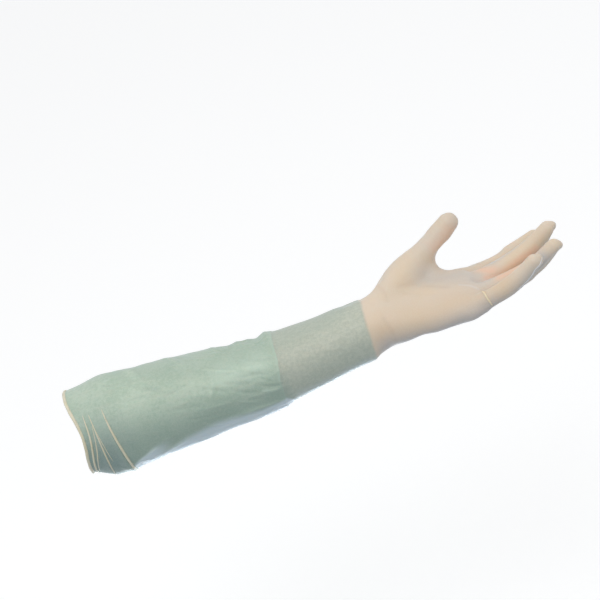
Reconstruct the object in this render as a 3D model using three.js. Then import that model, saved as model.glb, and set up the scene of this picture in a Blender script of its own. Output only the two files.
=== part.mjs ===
// An elbow-length examination glove for the left hand, one dipped latex film that keeps its worn form.
// In millimetres. +X runs along the glove to the fingertips, the palm faces +Z, the thumb is on the +Y side.
// The origin is the middle of the open mouth at the elbow, where the arm goes in.
import * as THREE from 'three';

// Driving dimensions
const FILM = 1.0; // wall of the glove
const BEAD_RADIUS = 1.6; // rolled edge at the mouth
const BEAD_SIDES = 7; // faces round the rolled edge
const WRIST = new THREE.Vector3(292, 0, -3); // wrist crease, which the hand's rows are counted from
const SQUARENESS = 2.3; // of every cross-section: 2 is an ellipse
const BLEND = 9; // how far from a crease between two forms their surfaces start to merge
const WEB_BLEND = 6; // the same between two fingers
const LONGEST_STEP = 15; // between two cross-sections of the arm
const FOLD_STEP = 5; // the same where the film is folded, near the mouth
const FOLDED_LENGTH = 48;
const DIGIT_STEP = 10; // between two cross-sections of a digit
const TIP_TILTS = [35, 65]; // degrees round a fingertip, of the two rings before its last point

// Points round the arm. Each finger takes a run of them on the palm's side and on the back.
const FINGER_RUN = 3;
const EDGE_RUN = 3; // down each edge of the hand, and down the web between two fingers
const TOP = 4 * FINGER_RUN;
const AROUND = 2 * TOP + 2 * EDGE_RUN;

const MATERIAL = new THREE.MeshStandardMaterial({
  color: 0xdbcbbc, roughness: 0.5, metalness: 0, side: THREE.DoubleSide,
});

// Cross-sections of the forearm, wrist and palm: place along the glove, middle, half width, half depth.
const ARM = [
  { x: 0, y: 0, z: 2, across: 43, through: 40 },
  { x: 14, y: 0, z: 0, across: 45, through: 42.5 },
  { x: 34, y: 0, z: -1, across: 47, through: 45 },
  { x: 52, y: 0, z: -1, across: 46, through: 43.2 },
  { x: 80, y: 0, z: -2, across: 46, through: 42.5 },
  { x: 100, y: 0, z: -4.2, across: 44.5, through: 40.5 },
  { x: 140, y: 0, z: -8.2, across: 41.5, through: 37.3 },
  { x: 180, y: 0, z: -10.3, across: 39, through: 34.6 },
  { x: 192, y: 0, z: -9.7, across: 38.4, through: 34 }, // step in the film, halfway down the forearm
  { x: 198, y: 0, z: -9, across: 37, through: 33 },
  { x: 206, y: 0, z: -8.8, across: 36, through: 31.5 },
  { x: 240, y: 0, z: -7.9, across: 33.8, through: 28.2 },
  { x: 260, y: 0, z: -6.4, across: 33, through: 27.2 },
  { x: 284, y: 0, z: -5, across: 32.5, through: 26.4 }, // step in the film, just above the wrist
  { x: 290, y: 0, z: -3.9, across: 31.5, through: 24.4 },
  { x: 300, y: 0, z: -3, across: 31.2, through: 22.8 },
  { x: 320, y: 0, z: -3.5, across: 35, through: 19.3 },
  { x: 335, y: 0, z: -3.4, across: 37.5, through: 17.3 },
  { x: 350, y: -1, z: -4.4, across: 39.5, through: 16 },
  { x: 365, y: -2, z: -4.8, across: 40.5, through: 15 },
  { x: 380, y: -4, z: -4.6, across: 40, through: 13 },
  { x: 392, y: -5, z: -4, across: 37, through: 9 },
];

// Rounded forms of the hand, each a run of balls, with places counted from the wrist crease.
const FORMS = {
  thenar: [
    { x: 14, y: 12, z: 6, radius: 14 },
    { x: 30, y: 21, z: 12.5, radius: 16.4 },
    { x: 45, y: 28, z: 16, radius: 16.6 },
  ],
  hypothenar: [
    { x: 22, y: -19, z: 1, radius: 13 },
    { x: 50, y: -23, z: 0, radius: 13 },
    { x: 78, y: -26, z: -1, radius: 10 },
  ],
  web: [
    { x: 50, y: 26, z: 11, radius: 12 },
    { x: 66, y: 27.5, z: 7, radius: 9.5 },
    { x: 84, y: 25, z: -3, radius: 8.5 },
  ],
  thumb: [
    { x: 26, y: 20, z: 10, radius: 15 },
    { x: 54, y: 34, z: 20.5, radius: 15 },
    { x: 80, y: 41, z: 33, radius: 11.6 },
    { x: 101.5, y: 44.5, z: 46, radius: 9.6 },
  ],
  index: [
    { x: 60, y: 20, z: -4, radius: 12 },
    { x: 90, y: 26, z: -6.5, radius: 10.6 },
    { x: 133, y: 30.5, z: -7.2, radius: 9.5 },
    { x: 157, y: 31, z: -2, radius: 8.7 },
    { x: 175, y: 31.5, z: 3.5, radius: 7.6 },
  ],
  middle: [
    { x: 60, y: 4, z: -3, radius: 12 },
    { x: 92, y: 6, z: -4, radius: 10.8 },
    { x: 138, y: 7, z: 1, radius: 10 },
    { x: 166, y: 8, z: 11, radius: 8.8 },
    { x: 184.5, y: 8.5, z: 22.5, radius: 7.6 },
  ],
  ring: [
    { x: 60, y: -12, z: -3, radius: 12 },
    { x: 88, y: -14.5, z: -3, radius: 10.7 },
    { x: 132, y: -17, z: 0, radius: 9.8 },
    { x: 160, y: -19, z: 8, radius: 8.7 },
    { x: 180, y: -20, z: 20.5, radius: 7.6 },
  ],
  little: [
    { x: 55, y: -25, z: -3, radius: 12 },
    { x: 80, y: -31, z: -2, radius: 10.2 },
    { x: 114, y: -38, z: 6.5, radius: 8.9 },
    { x: 138, y: -42, z: 18, radius: 7.9 },
    { x: 154, y: -44, z: 30, radius: 7 },
  ],
};

// The fingers from the thumb's side. Each is clear of its neighbours from this far past the wrist.
const FINGERS = [
  { name: 'index', clear: 124 },
  { name: 'middle', clear: 124 },
  { name: 'ring', clear: 121 },
  { name: 'little', clear: 113 },
];

// The edges of the fingers' roots, counted from the wrist: the index finger's free side, the three webs and
// the little finger's free side.
const FINGER_EDGES = [
  { x: 106, y: 36, z: -5 },
  { x: 115, y: 17.6, z: -5 },
  { x: 114, y: -5, z: -2.5 },
  { x: 106, y: -26, z: 1 },
  { x: 96, y: -41, z: -1 },
];
const WEB_SETBACK = 9; // how far the skin over a web stands back from the web's own edge
const WEB_SEARCH = 0.1; // step along the glove to the web's edge
const WEB_FILM = 2.8; // depth of the film behind a web's edge, where the walls of two fingers meet
const WEB_RISE = 2.5; // of a web's two points from its middle, towards the palm and the back
const HALF_PALM = 9; // half the palm's thickness where the fingers start
const PALM_START = 300;
const PALM_FLATTENS = 0.3; // share of the palm's length where its cross-sections leave the wrist's shape
const ROOT_ANGLE = 45; // degrees from a finger's side to the first point of its rings

// Where the thumb parts from the palm, counted from the wrist, and where its own clear length starts.
const THUMB_SPLIT = 62;
const THUMB_CLEAR = 78;
const THUMB_SPLIT_PLACE = 0.42; // the same place as a share of the thumb's centreline
const THUMB_WEB = { x: 82, y: 31, z: 5 };
const THUMB_WEB_PULL = 0.8; // how nearly the web's points reach that place
const THUMB_LAST = 4; // last of the points round the arm that go to the thumb, on the palm's side
const THUMB_FIRST = AROUND - 3; // first of them, on the back
const THUMB_SIDE = new THREE.Vector3(-0.49, 0.59, 0.64); // from the thumb's middle away from its web
const THUMB_ROOT_ANGLE = -90; // degrees from that side to the first point of its rings
const RINGS_TO_SPLIT = 6; // cross-sections of the palm from the wrist to the thumb's split
const RINGS_PAST_SPLIT = 5; // and from there to the fingers

// Raised folds near the mouth, each from one place to another. A place is a distance from the mouth, and an
// angle about the arm in degrees, from the thumb's side by way of the palm's.
const FOLDS = [
  { fromX: 33, fromAngle: 122, toX: 39, toAngle: 262, height: 2.2, width: 3 },
  { fromX: 18, fromAngle: 122, toX: 19, toAngle: 250, height: 1.6, width: 3 },
];
const FOLD_FADE = 24; // degrees over which a fold dies away at each end

// How the mesh is fitted to the forms
const BALLS_PER_ROW = 5;
const LEAST_LEVEL = 0.05; // keeps the middle of a cross-section from dividing by nothing
const LEAST_SLOPE = 0.5; // the same for a point where the distance hardly changes
const NUDGE = 0.2; // millimetres either way, to measure a slope
const CURVE_STEP = 0.005; // search step along a centreline, as a share of it
const SETTLE_ROUNDS = 4;
const EVEN_ROUNDS = 24;
const EVEN_STEP = 0.5; // share of the way to the middle of its neighbours that a point moves each round

const radians = THREE.MathUtils.degToRad;
const { lerp, smoothstep, euclideanModulo, clamp } = THREE.MathUtils;
const ARM_END = ARM.at(-1).x;

// A row between a table's rows, with smooth slopes through them.
function rowAt(rows, value) {
  const last = rows.length - 2;
  let i = 0;
  while (i < last && rows[i + 1].x < value) i++;
  const slope = (n, name) => {
    const a = rows[Math.max(n - 1, 0)];
    const b = rows[Math.min(n + 1, rows.length - 1)];
    return (b[name] - a[name]) / (b.x - a.x);
  };
  const span = rows[i + 1].x - rows[i].x;
  const t = clamp((value - rows[i].x) / span, 0, 1);
  const made = {};
  for (const name of Object.keys(rows[0])) {
    made[name] = rows[i][name] * (2 * t ** 3 - 3 * t ** 2 + 1)
      + rows[i + 1][name] * (3 * t ** 2 - 2 * t ** 3)
      + slope(i, name) * span * (t ** 3 - 2 * t ** 2 + t)
      + slope(i + 1, name) * span * (t ** 3 - t ** 2);
  }
  return made;
}

// A form's centreline and radius, as a smooth curve through its rows.
function curveOf(rows) {
  const places = rows.map((r) => new THREE.Vector3(r.x, r.y, r.z).add(WRIST));
  const curve = new THREE.CatmullRomCurve3(places, false, 'centripetal');
  return {
    curve,
    at: (t) => {
      const s = t * (rows.length - 1);
      const k = Math.min(Math.floor(s), rows.length - 2);
      return {
        middle: curve.getPoint(t),
        tangent: curve.getTangent(t),
        radius: lerp(rows[k].radius, rows[k + 1].radius, s - k),
      };
    },
  };
}

const curves = {};
const balls = {};
for (const [name, rows] of Object.entries(FORMS)) {
  curves[name] = curveOf(rows);
  const count = (rows.length - 1) * BALLS_PER_ROW;
  balls[name] = Array.from({ length: count + 1 }, (_, i) => curves[name].at(i / count));
}

// How far a point lies outside the arm and palm; negative inside.
function armDistance(p) {
  const row = rowAt(ARM, p.x);
  const y = p.y - row.y;
  const z = p.z - row.z;
  const power = (Math.abs(y) / row.across) ** SQUARENESS + (Math.abs(z) / row.through) ** SQUARENESS;
  const level = Math.max(power ** (1 / SQUARENESS), LEAST_LEVEL);
  const beside = Math.hypot(y, z) * (1 - 1 / level);
  const beyond = Math.max(p.x - ARM_END, 0);
  return beyond > 0 ? Math.hypot(Math.max(beside, 0), beyond) : beside;
}

// The same for one of the hand's rounded forms.
const segment = new THREE.Line3();
const onSegment = new THREE.Vector3();
function formDistance(p, name) {
  const run = balls[name];
  let nearest = Infinity;
  for (let i = 0; i + 1 < run.length; i++) {
    segment.set(run[i].middle, run[i + 1].middle);
    const t = segment.closestPointToPointParameter(p, true);
    const away = segment.at(t, onSegment).distanceTo(p);
    nearest = Math.min(nearest, away - lerp(run[i].radius, run[i + 1].radius, t));
  }
  return nearest;
}

// Two forms merged with a fillet.
function merged(a, b, blend) {
  const overlap = Math.max(blend - Math.abs(a - b), 0) / blend;
  return Math.min(a, b) - overlap * overlap * blend / 4;
}

// How far a point lies outside the hand, where of its rounded forms only the named ones count.
const FINGER_NAMES = new Set(FINGERS.map((finger) => finger.name));
function handDistance(p, forms) {
  let fingers = Infinity;
  let rest = armDistance(p);
  for (const name of forms) {
    const distance = formDistance(p, name);
    if (FINGER_NAMES.has(name)) fingers = merged(fingers, distance, WEB_BLEND);
    else rest = merged(rest, distance, BLEND);
  }
  return merged(fingers, rest, BLEND);
}

// Which way that distance grows fastest, and how fast.
function handSlope(p, forms) {
  const slope = new THREE.Vector3();
  for (const axis of ['x', 'y', 'z']) {
    const ahead = p.clone();
    const behind = p.clone();
    ahead[axis] += NUDGE;
    behind[axis] -= NUDGE;
    slope[axis] = (handDistance(ahead, forms) - handDistance(behind, forms)) / (2 * NUDGE);
  }
  return slope;
}

// Moves a point onto the hand's surface.
function settle(p, forms) {
  for (let round = 0; round < SETTLE_ROUNDS; round++) {
    const slope = handSlope(p, forms);
    p.addScaledVector(slope, -handDistance(p, forms) / Math.max(slope.lengthSq(), LEAST_SLOPE ** 2));
  }
}

// How far the folds lift the film at a place on the arm.
function foldHeight(x, angle) {
  let height = 0;
  for (const fold of FOLDS) {
    const span = radians(fold.toAngle - fold.fromAngle);
    const turn = euclideanModulo(angle - radians(fold.fromAngle), 2 * Math.PI);
    if (turn > span) continue;
    const line = lerp(fold.fromX, fold.toX, turn / span);
    const fade = smoothstep(Math.min(turn, span - turn), 0, radians(FOLD_FADE));
    height += fold.height * fade * Math.exp(-(((x - line) / fold.width) ** 2));
  }
  return height;
}

function armPoint(x, angle) {
  const row = rowAt(ARM, x);
  const c = Math.cos(angle);
  const s = Math.sin(angle);
  const reach = (Math.abs(c) ** SQUARENESS + Math.abs(s) ** SQUARENESS) ** (-1 / SQUARENESS);
  const lift = foldHeight(x, angle);
  const y = row.y + (row.across + lift) * reach * c;
  const z = row.z + (row.through + lift) * reach * s;
  return new THREE.Vector3(x, y, z);
}

// The mesh of the outer surface. A point may have forms that it settles on, and may be free to slide along
// them. Where the way from the inner wall to a point is known, it is kept. Faces have four sides, or three.
const points = [];
const settlesOn = [];
const slides = [];
const outward = new Map();
const faces = [];
const WHOLE_HAND = Object.keys(FORMS);

function addPoint(p, forms = null, free = true) {
  points.push(p);
  settlesOn.push(forms);
  slides.push(forms !== null && free);
  return points.length - 1;
}

// Joins two rings of points that run the same way round.
function bridge(from, to) {
  from.forEach((a, i) => {
    const next = (i + 1) % from.length;
    faces.push([a, from[next], to[next], to[i]]);
  });
  return to;
}

// Angle of a point round the arm: even steps, starting beside the palm's corner on the thumb's side.
function evenAngle(i) {
  return 2 * Math.PI * (i + EDGE_RUN / 2) / AROUND;
}

function forearm() {
  const stations = [Math.sqrt(BEAD_RADIUS ** 2 - (FILM / 2) ** 2)];
  for (let x = FOLD_STEP; x < FOLDED_LENGTH; x += FOLD_STEP) stations.push(x);
  for (const row of ARM.filter((r) => r.x > FOLDED_LENGTH && r.x <= PALM_START)) {
    const from = stations.at(-1);
    const count = Math.ceil((row.x - from) / LONGEST_STEP);
    for (let i = 1; i <= count; i++) stations.push(lerp(from, row.x, i / count));
  }
  const rings = stations.map((x) => Array.from({ length: AROUND }, (_, i) => addPoint(
    armPoint(x, evenAngle(i)),
    x >= PALM_START ? WHOLE_HAND : null,
  )));
  rings.reduce(bridge);
  return { mouth: rings[0], wrist: rings.at(-1) };
}

// Where a point round the arm ends up on the line that the fingers start from.
function fingerLinePoint(i) {
  const top = new THREE.Vector3(0, 0, HALF_PALM);
  const onBack = i >= TOP + EDGE_RUN && i <= AROUND - EDGE_RUN;
  if (i <= TOP || onBack) {
    const column = onBack ? AROUND - EDGE_RUN - i : i;
    const k = Math.min(Math.floor(column / FINGER_RUN), FINGER_EDGES.length - 2);
    const from = new THREE.Vector3().copy(FINGER_EDGES[k]);
    const p = from.lerp(FINGER_EDGES[k + 1], column / FINGER_RUN - k).addScaledVector(top, onBack ? -1 : 1);
    return p.add(WRIST).setX(p.x - WEB_SETBACK);
  }
  const littleSide = i < TOP + EDGE_RUN;
  const down = littleSide ? (i - TOP) / EDGE_RUN : (AROUND - i) / EDGE_RUN;
  const edge = FINGER_EDGES.at(littleSide ? -1 : 0);
  const p = new THREE.Vector3().copy(edge).addScaledVector(top, 1 - 2 * down);
  return p.add(WRIST).setX(p.x - WEB_SETBACK);
}

// One of the points round the palm, a share of the way from the wrist to the fingers.
function palmPoint(i, share) {
  const made = armPoint(PALM_START, evenAngle(i)).lerp(fingerLinePoint(i), share);
  return armPoint(made.x, evenAngle(i)).lerp(made, smoothstep(share, PALM_FLATTENS, 1));
}

// A ring of points square to a form's centreline. The first lies at an angle from the side axis, in degrees.
function formRing(place, side, firstAngle, count, growth = 1, shift = 0) {
  const up = place.tangent.clone().cross(side).normalize();
  const across = up.clone().cross(place.tangent);
  return Array.from({ length: count }, (_, n) => {
    const angle = radians(firstAngle + 360 * n / count);
    return place.middle.clone()
      .addScaledVector(place.tangent, shift)
      .addScaledVector(across, place.radius * growth * Math.cos(angle))
      .addScaledVector(up, place.radius * growth * Math.sin(angle));
  });
}

// A digit from its root on the hand to its tip: even rings, then a rounded end.
function digit(root, name, clear, side, firstAngle, rootForms = null) {
  const { curve, at } = curves[name];
  let start = 0;
  while (curve.getPoint(start).x < WRIST.x + clear) start += CURVE_STEP;
  const count = Math.round(curve.getLength() * (1 - start) / DIGIT_STEP);
  const addAbout = (middle, forms) => (p) => {
    const id = addPoint(p, forms);
    outward.set(id, p.clone().sub(middle).setLength(FILM));
    return id;
  };
  let last = root;
  for (let i = 0; i <= count; i++) {
    const place = at(lerp(start, 1, i / count));
    const ring = formRing(place, side, firstAngle, root.length);
    last = bridge(last, ring.map(addAbout(place.middle, i === 0 ? rootForms : null)));
  }
  const end = at(1);
  for (const tilt of TIP_TILTS) {
    const turn = radians(tilt);
    const ring = formRing(end, side, firstAngle, root.length, Math.cos(turn), end.radius * Math.sin(turn));
    last = bridge(last, ring.map(addAbout(end.middle, null)));
  }
  const tip = addAbout(end.middle, null)(end.middle.clone().addScaledVector(end.tangent, end.radius));
  last.forEach((a, i) => faces.push([a, last[(i + 1) % last.length], tip]));
}

function hand(wrist) {
  const thumbPlaces = [];
  for (let i = THUMB_FIRST; i !== THUMB_LAST + 1; i = (i + 1) % AROUND) thumbPlaces.push(i);
  const thumbSides = 2 * (thumbPlaces.length - 1);
  const splitRing = formRing(curves.thumb.at(THUMB_SPLIT_PLACE), THUMB_SIDE, THUMB_ROOT_ANGLE, thumbSides);
  const ringAt = (share, towardsThumb) => Array.from({ length: AROUND }, (_, i) => {
    const n = thumbPlaces.indexOf(i);
    const p = palmPoint(i, share);
    if (n >= 0) p.lerp(splitRing[n], towardsThumb);
    settle(p, WHOLE_HAND);
    return addPoint(p, WHOLE_HAND, share < 1);
  });

  const thumbShare = THUMB_SPLIT / FINGER_EDGES[1].x;
  let last = wrist;
  for (let i = 1; i <= RINGS_TO_SPLIT; i++) {
    const way = i / RINGS_TO_SPLIT;
    last = bridge(last, ringAt(thumbShare * way, smoothstep(way, 0, 1)));
  }

  // The thumb's own loop takes the outer points and a web of new ones, which then edge the palm.
  const inner = thumbPlaces.slice(1, -1);
  const webMiddle = new THREE.Vector3().copy(THUMB_WEB).add(WRIST);
  const webPoints = inner.map((_, n) => {
    const down = (n + 1) / (inner.length + 1);
    const p = points[last[THUMB_FIRST]].clone().lerp(points[last[THUMB_LAST]], down);
    return addPoint(p.lerp(webMiddle, THUMB_WEB_PULL * Math.sin(Math.PI * down)), WHOLE_HAND);
  });
  const thumbRoot = [...thumbPlaces.map((i) => last[i]), ...webPoints.toReversed()];
  digit(thumbRoot, 'thumb', THUMB_CLEAR, THUMB_SIDE, THUMB_ROOT_ANGLE, ['thenar', 'web', 'thumb']);
  last = last.map((id, i) => (inner.includes(i) ? webPoints[inner.indexOf(i)] : id));
  for (let i = 1; i <= RINGS_PAST_SPLIT; i++) {
    last = bridge(last, ringAt(lerp(thumbShare, 1, i / RINGS_PAST_SPLIT), 0));
  }

  // Each finger's loop runs along the palm's side, down one web, along the hand's back and up the other web.
  const edges = FINGER_EDGES.map((edge, k) => {
    if (k === 0) return [last[AROUND - 1], last[AROUND - 2]];
    if (k === FINGERS.length) return [last[TOP + 1], last[TOP + 2]];
    outward.set(last[k * FINGER_RUN], new THREE.Vector3(0, 0, FILM));
    outward.set(last[AROUND - EDGE_RUN - k * FINGER_RUN], new THREE.Vector3(0, 0, -FILM));
    const beside = [FINGERS[k - 1].name, FINGERS[k].name];
    return [WEB_RISE, -WEB_RISE].map((rise) => {
      const p = new THREE.Vector3(edge.x - WEB_SETBACK, edge.y, edge.z + rise).add(WRIST);
      while (handDistance(p, beside) < 0) {
        p.x += WEB_SEARCH;
        p.y += (formDistance(p, beside[0]) - formDistance(p, beside[1])) / 2;
      }
      const id = addPoint(p);
      outward.set(id, new THREE.Vector3(WEB_FILM, 0, 0));
      return id;
    });
  });
  const acrossHand = new THREE.Vector3(0, 1, 0);
  FINGERS.forEach(({ name, clear }, k) => {
    const from = k * FINGER_RUN;
    const palmSide = last.slice(from, from + FINGER_RUN + 1);
    const backEnd = AROUND - EDGE_RUN - from;
    const backSide = last.slice(backEnd - FINGER_RUN, backEnd + 1);
    const root = [...palmSide, ...edges[k + 1], ...backSide, ...edges[k].toReversed()];
    digit(root, name, clear, acrossHand, ROOT_ANGLE);
  });
}

// Evens out the free points, keeping each on the surface.
function evenOut() {
  const neighbours = points.map(() => new Set());
  for (const face of faces) {
    face.forEach((a, i) => {
      const b = face[(i + 1) % face.length];
      neighbours[a].add(b);
      neighbours[b].add(a);
    });
  }
  for (let round = 0; round < EVEN_ROUNDS; round++) {
    const moved = points.map((p, i) => {
      if (!slides[i]) return p;
      const mean = new THREE.Vector3();
      for (const n of neighbours[i]) mean.addScaledVector(points[n], 1 / neighbours[i].size);
      const next = p.clone().lerp(mean, EVEN_STEP);
      settle(next, settlesOn[i]);
      return next;
    });
    moved.forEach((p, i) => points[i].copy(p));
  }
  points.forEach((p, i) => {
    if (settlesOn[i] && !outward.has(i)) outward.set(i, handSlope(p, settlesOn[i]).setLength(FILM));
  });
}

// The film's closed solid: the outer surface, the same surface moved inwards, and a rolled bead at the rim.
function filmGeometry(mouth) {
  const triangles = faces.flatMap((f) => {
    if (f.length === 3) return [f];
    const [a, b, c, d] = f.map((id) => points[id]);
    return a.distanceToSquared(c) < b.distanceToSquared(d)
      ? [[f[0], f[1], f[2]], [f[0], f[2], f[3]]]
      : [[f[0], f[1], f[3]], [f[1], f[2], f[3]]];
  });
  const outer = new THREE.BufferGeometry().setFromPoints(points).setIndex(triangles.flat());
  outer.computeVertexNormals();
  const normals = outer.attributes.normal;
  const inside = points.map((p, i) => {
    const out = outward.get(i) ?? new THREE.Vector3().fromBufferAttribute(normals, i).setLength(FILM);
    return p.clone().sub(out);
  });
  const all = [...points, ...inside];
  const half = points.length;
  const index = triangles.flatMap(([a, b, c]) => [a, b, c, a + half, c + half, b + half]);

  const middle = new THREE.Vector3(0, ARM[0].y, ARM[0].z);
  const along = new THREE.Vector3(1, 0, 0);
  const lap = Math.acos(FILM / 2 / BEAD_RADIUS);
  const strips = mouth.map((id) => {
    const rim = points[id].clone().add(inside[id]).multiplyScalar(0.5).setX(0);
    const out = rim.clone().sub(middle).normalize();
    const strip = [id];
    for (let k = 1; k < BEAD_SIDES; k++) {
      const turn = lerp(lap, -Math.PI - lap, k / BEAD_SIDES);
      strip.push(all.length);
      all.push(rim.clone().addScaledVector(out, BEAD_RADIUS * Math.cos(turn))
        .addScaledVector(along, BEAD_RADIUS * Math.sin(turn)));
    }
    strip.push(id + half);
    return strip;
  });
  strips.forEach((strip, i) => {
    const next = strips[(i + 1) % strips.length];
    for (let k = 0; k < BEAD_SIDES; k++) {
      index.push(strip[k], strip[k + 1], next[k + 1], strip[k], next[k + 1], next[k]);
    }
  });
  return new THREE.BufferGeometry().setFromPoints(all).setIndex(index);
}

const { mouth, wrist } = forearm();
hand(wrist);
evenOut();

const glove = new THREE.Mesh(filmGeometry(mouth), MATERIAL);
glove.name = 'glove';

const part = new THREE.Group();
part.add(glove);

export default part;
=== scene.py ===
import math
from collections import namedtuple

import bpy
import numpy as np
from mathutils import Matrix, Vector


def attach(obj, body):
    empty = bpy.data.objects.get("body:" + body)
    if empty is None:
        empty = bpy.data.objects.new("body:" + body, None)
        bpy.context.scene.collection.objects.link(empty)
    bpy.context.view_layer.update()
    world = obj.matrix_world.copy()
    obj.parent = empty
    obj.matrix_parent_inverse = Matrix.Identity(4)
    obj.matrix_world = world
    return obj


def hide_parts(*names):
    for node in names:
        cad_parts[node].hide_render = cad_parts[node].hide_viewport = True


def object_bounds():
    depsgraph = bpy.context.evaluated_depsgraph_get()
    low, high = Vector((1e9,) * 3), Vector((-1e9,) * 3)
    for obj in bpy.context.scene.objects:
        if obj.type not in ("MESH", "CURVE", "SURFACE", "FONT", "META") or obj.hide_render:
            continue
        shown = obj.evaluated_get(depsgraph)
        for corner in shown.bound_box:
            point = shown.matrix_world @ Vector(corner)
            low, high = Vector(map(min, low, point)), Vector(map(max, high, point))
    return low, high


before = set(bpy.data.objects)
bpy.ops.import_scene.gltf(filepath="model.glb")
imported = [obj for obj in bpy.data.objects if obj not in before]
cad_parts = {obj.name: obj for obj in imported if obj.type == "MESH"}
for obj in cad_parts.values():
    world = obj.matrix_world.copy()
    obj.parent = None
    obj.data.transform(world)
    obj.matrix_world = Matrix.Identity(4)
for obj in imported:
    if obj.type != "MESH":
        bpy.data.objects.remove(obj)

CAD_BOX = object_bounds()

bl_info = {
    "name": "Elbow-length examination glove",
    "version": (1, 0, 0),
    "blender": (4, 5, 0),
    "location": "3D View > Sidebar > Glove",
    "description": "Builds a long latex examination glove in its worn form",
    "category": "Object",
}

# Lengths in the tables and in the surface's maths are in millimetres. Meshes are in metres.
MM = 0.001
NODE = "glove"
BODY = "root"

# The part's own driving sizes
FILM = 1.0
BEAD_RADIUS = 1.6
WRIST = np.array((292.0, 0.0, -3.0))  # wrist crease, which the hand's rows are counted from
SQUARENESS = 2.3  # of every cross-section: 2 is an ellipse
BLEND = 9.0  # how far from a crease between two forms their surfaces start to merge
WEB_BLEND = 6.0  # the same between two fingers

# Cross-sections of the forearm, wrist and palm
Section = namedtuple("Section", "x y z across through")
ARM = [Section(*row) for row in (
    (0, 0, 2, 43, 40), (14, 0, 0, 45, 42.5), (34, 0, -1, 47, 45), (52, 0, -1, 46, 43.2),
    (80, 0, -2, 46, 42.5), (100, 0, -4.2, 44.5, 40.5), (140, 0, -8.2, 41.5, 37.3),
    (180, 0, -10.3, 39, 34.6), (192, 0, -9.7, 38.4, 34), (198, 0, -9, 37, 33), (206, 0, -8.8, 36, 31.5),
    (240, 0, -7.9, 33.8, 28.2), (260, 0, -6.4, 33, 27.2), (284, 0, -5, 32.5, 26.4),
    (290, 0, -3.9, 31.5, 24.4), (300, 0, -3, 31.2, 22.8), (320, 0, -3.5, 35, 19.3),
    (335, 0, -3.4, 37.5, 17.3), (350, -1, -4.4, 39.5, 16), (365, -2, -4.8, 40.5, 15),
    (380, -4, -4.6, 40, 13), (392, -5, -4, 37, 9),
)]

# Rounded forms of the hand, each a run of balls, with places counted from the wrist crease
Ball = namedtuple("Ball", "x y z radius")
FORMS = {name: [Ball(*row) for row in rows] for name, rows in {
    "thenar": [(14, 12, 6, 14), (30, 21, 12.5, 16.4), (45, 28, 16, 16.6)],
    "hypothenar": [(22, -19, 1, 13), (50, -23, 0, 13), (78, -26, -1, 10)],
    "web": [(50, 26, 11, 12), (66, 27, 4.8, 9.4), (84, 24, -5.8, 8.3)],
    "thumb": [(26, 20, 10, 15), (54, 34, 20.5, 15), (80, 41, 33, 11.6), (101.5, 44.5, 46, 9.6)],
    "index": [
        (60, 20, -4, 12), (90, 26, -6.5, 10.6), (133, 30.5, -7.2, 9.5), (157, 31, -2, 8.7),
        (175, 31.5, 3.5, 7.6),
    ],
    "middle": [
        (60, 4, -3, 12), (92, 6, -4, 10.8), (138, 7, 1, 10), (166, 8, 11, 8.8), (184.5, 8.5, 22.5, 7.6),
    ],
    "ring": [
        (60, -12, -3, 12), (88, -14.5, -3, 10.7), (132, -17, 0, 9.8), (160, -19, 8, 8.7),
        (180, -20, 20.5, 7.6),
    ],
    "little": [
        (55, -25, -3, 12), (80, -31, -2, 10.2), (114, -38, 6.5, 8.9), (138, -42, 18, 7.9),
        (154, -44, 30, 7),
    ],
}.items()}
# How far past the wrist crease each finger is clear of its neighbours
FINGERS = {"index": 124, "middle": 124, "ring": 121, "little": 113}

# Edges of the fingers' roots: the index finger's free side, the three webs, the little finger's free side
FINGER_EDGES = np.array((
    (106, 36, -5), (115, 17.6, -5), (114, -5, -2.5), (106, -26, 1), (96, -41, -1),
), float)

# How the palm ends at the fingers and at the thumb, which leaves it before them
WEB_SETBACK = 9.0
WEB_SEARCH = 0.1
WEB_RISE = 2.5
HALF_PALM = 9.0
PALM_START = 300.0
PALM_FLATTENS = 0.3
ROOT_ANGLE = 45.0
THUMB_SPLIT = 62.0
THUMB_CLEAR = 78.0
THUMB_SPLIT_PLACE = 0.42
THUMB_WEB = np.array((82.0, 31.0, 5.0))
THUMB_WEB_PULL = 0.8
THUMB_SIDE = np.array((-0.49, 0.59, 0.64))
THUMB_ROOT_ANGLE = -90.0

# Round the thumb's web the film is rounded out: most in its core, and not at all past its reach.
WEB_CORE = 8.0
WEB_REACH = 26.0
WEB_SHARE = 0.5
WEB_ROUNDS = 12

# Points round the arm, as the fingers share them
FINGER_RUN = 3
EDGE_RUN = 3
TOP = 4 * FINGER_RUN
AROUND = 2 * TOP + 2 * EDGE_RUN
THUMB_LAST = 4
THUMB_FIRST = AROUND - 3
RINGS_TO_SPLIT = 6
RINGS_PAST_SPLIT = 5
TIP_TILTS = (30, 60)
DIGIT_STEP = 10.0
ALONG_STEP = 0.005  # share of a form's length, in the search for where it comes clear
TANGENT_STEP = 0.001
EVENING_ROUNDS = 24

# Limits of the search for the hand's surface
FAR = 1000.0
HAND_OVERLAP = 25.0  # how far before the wrist crease the hand's forms can reach
LEAST_LEVEL = 0.05
FLATTEST = 0.25
SLOPE_NUDGE = 0.2

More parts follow.
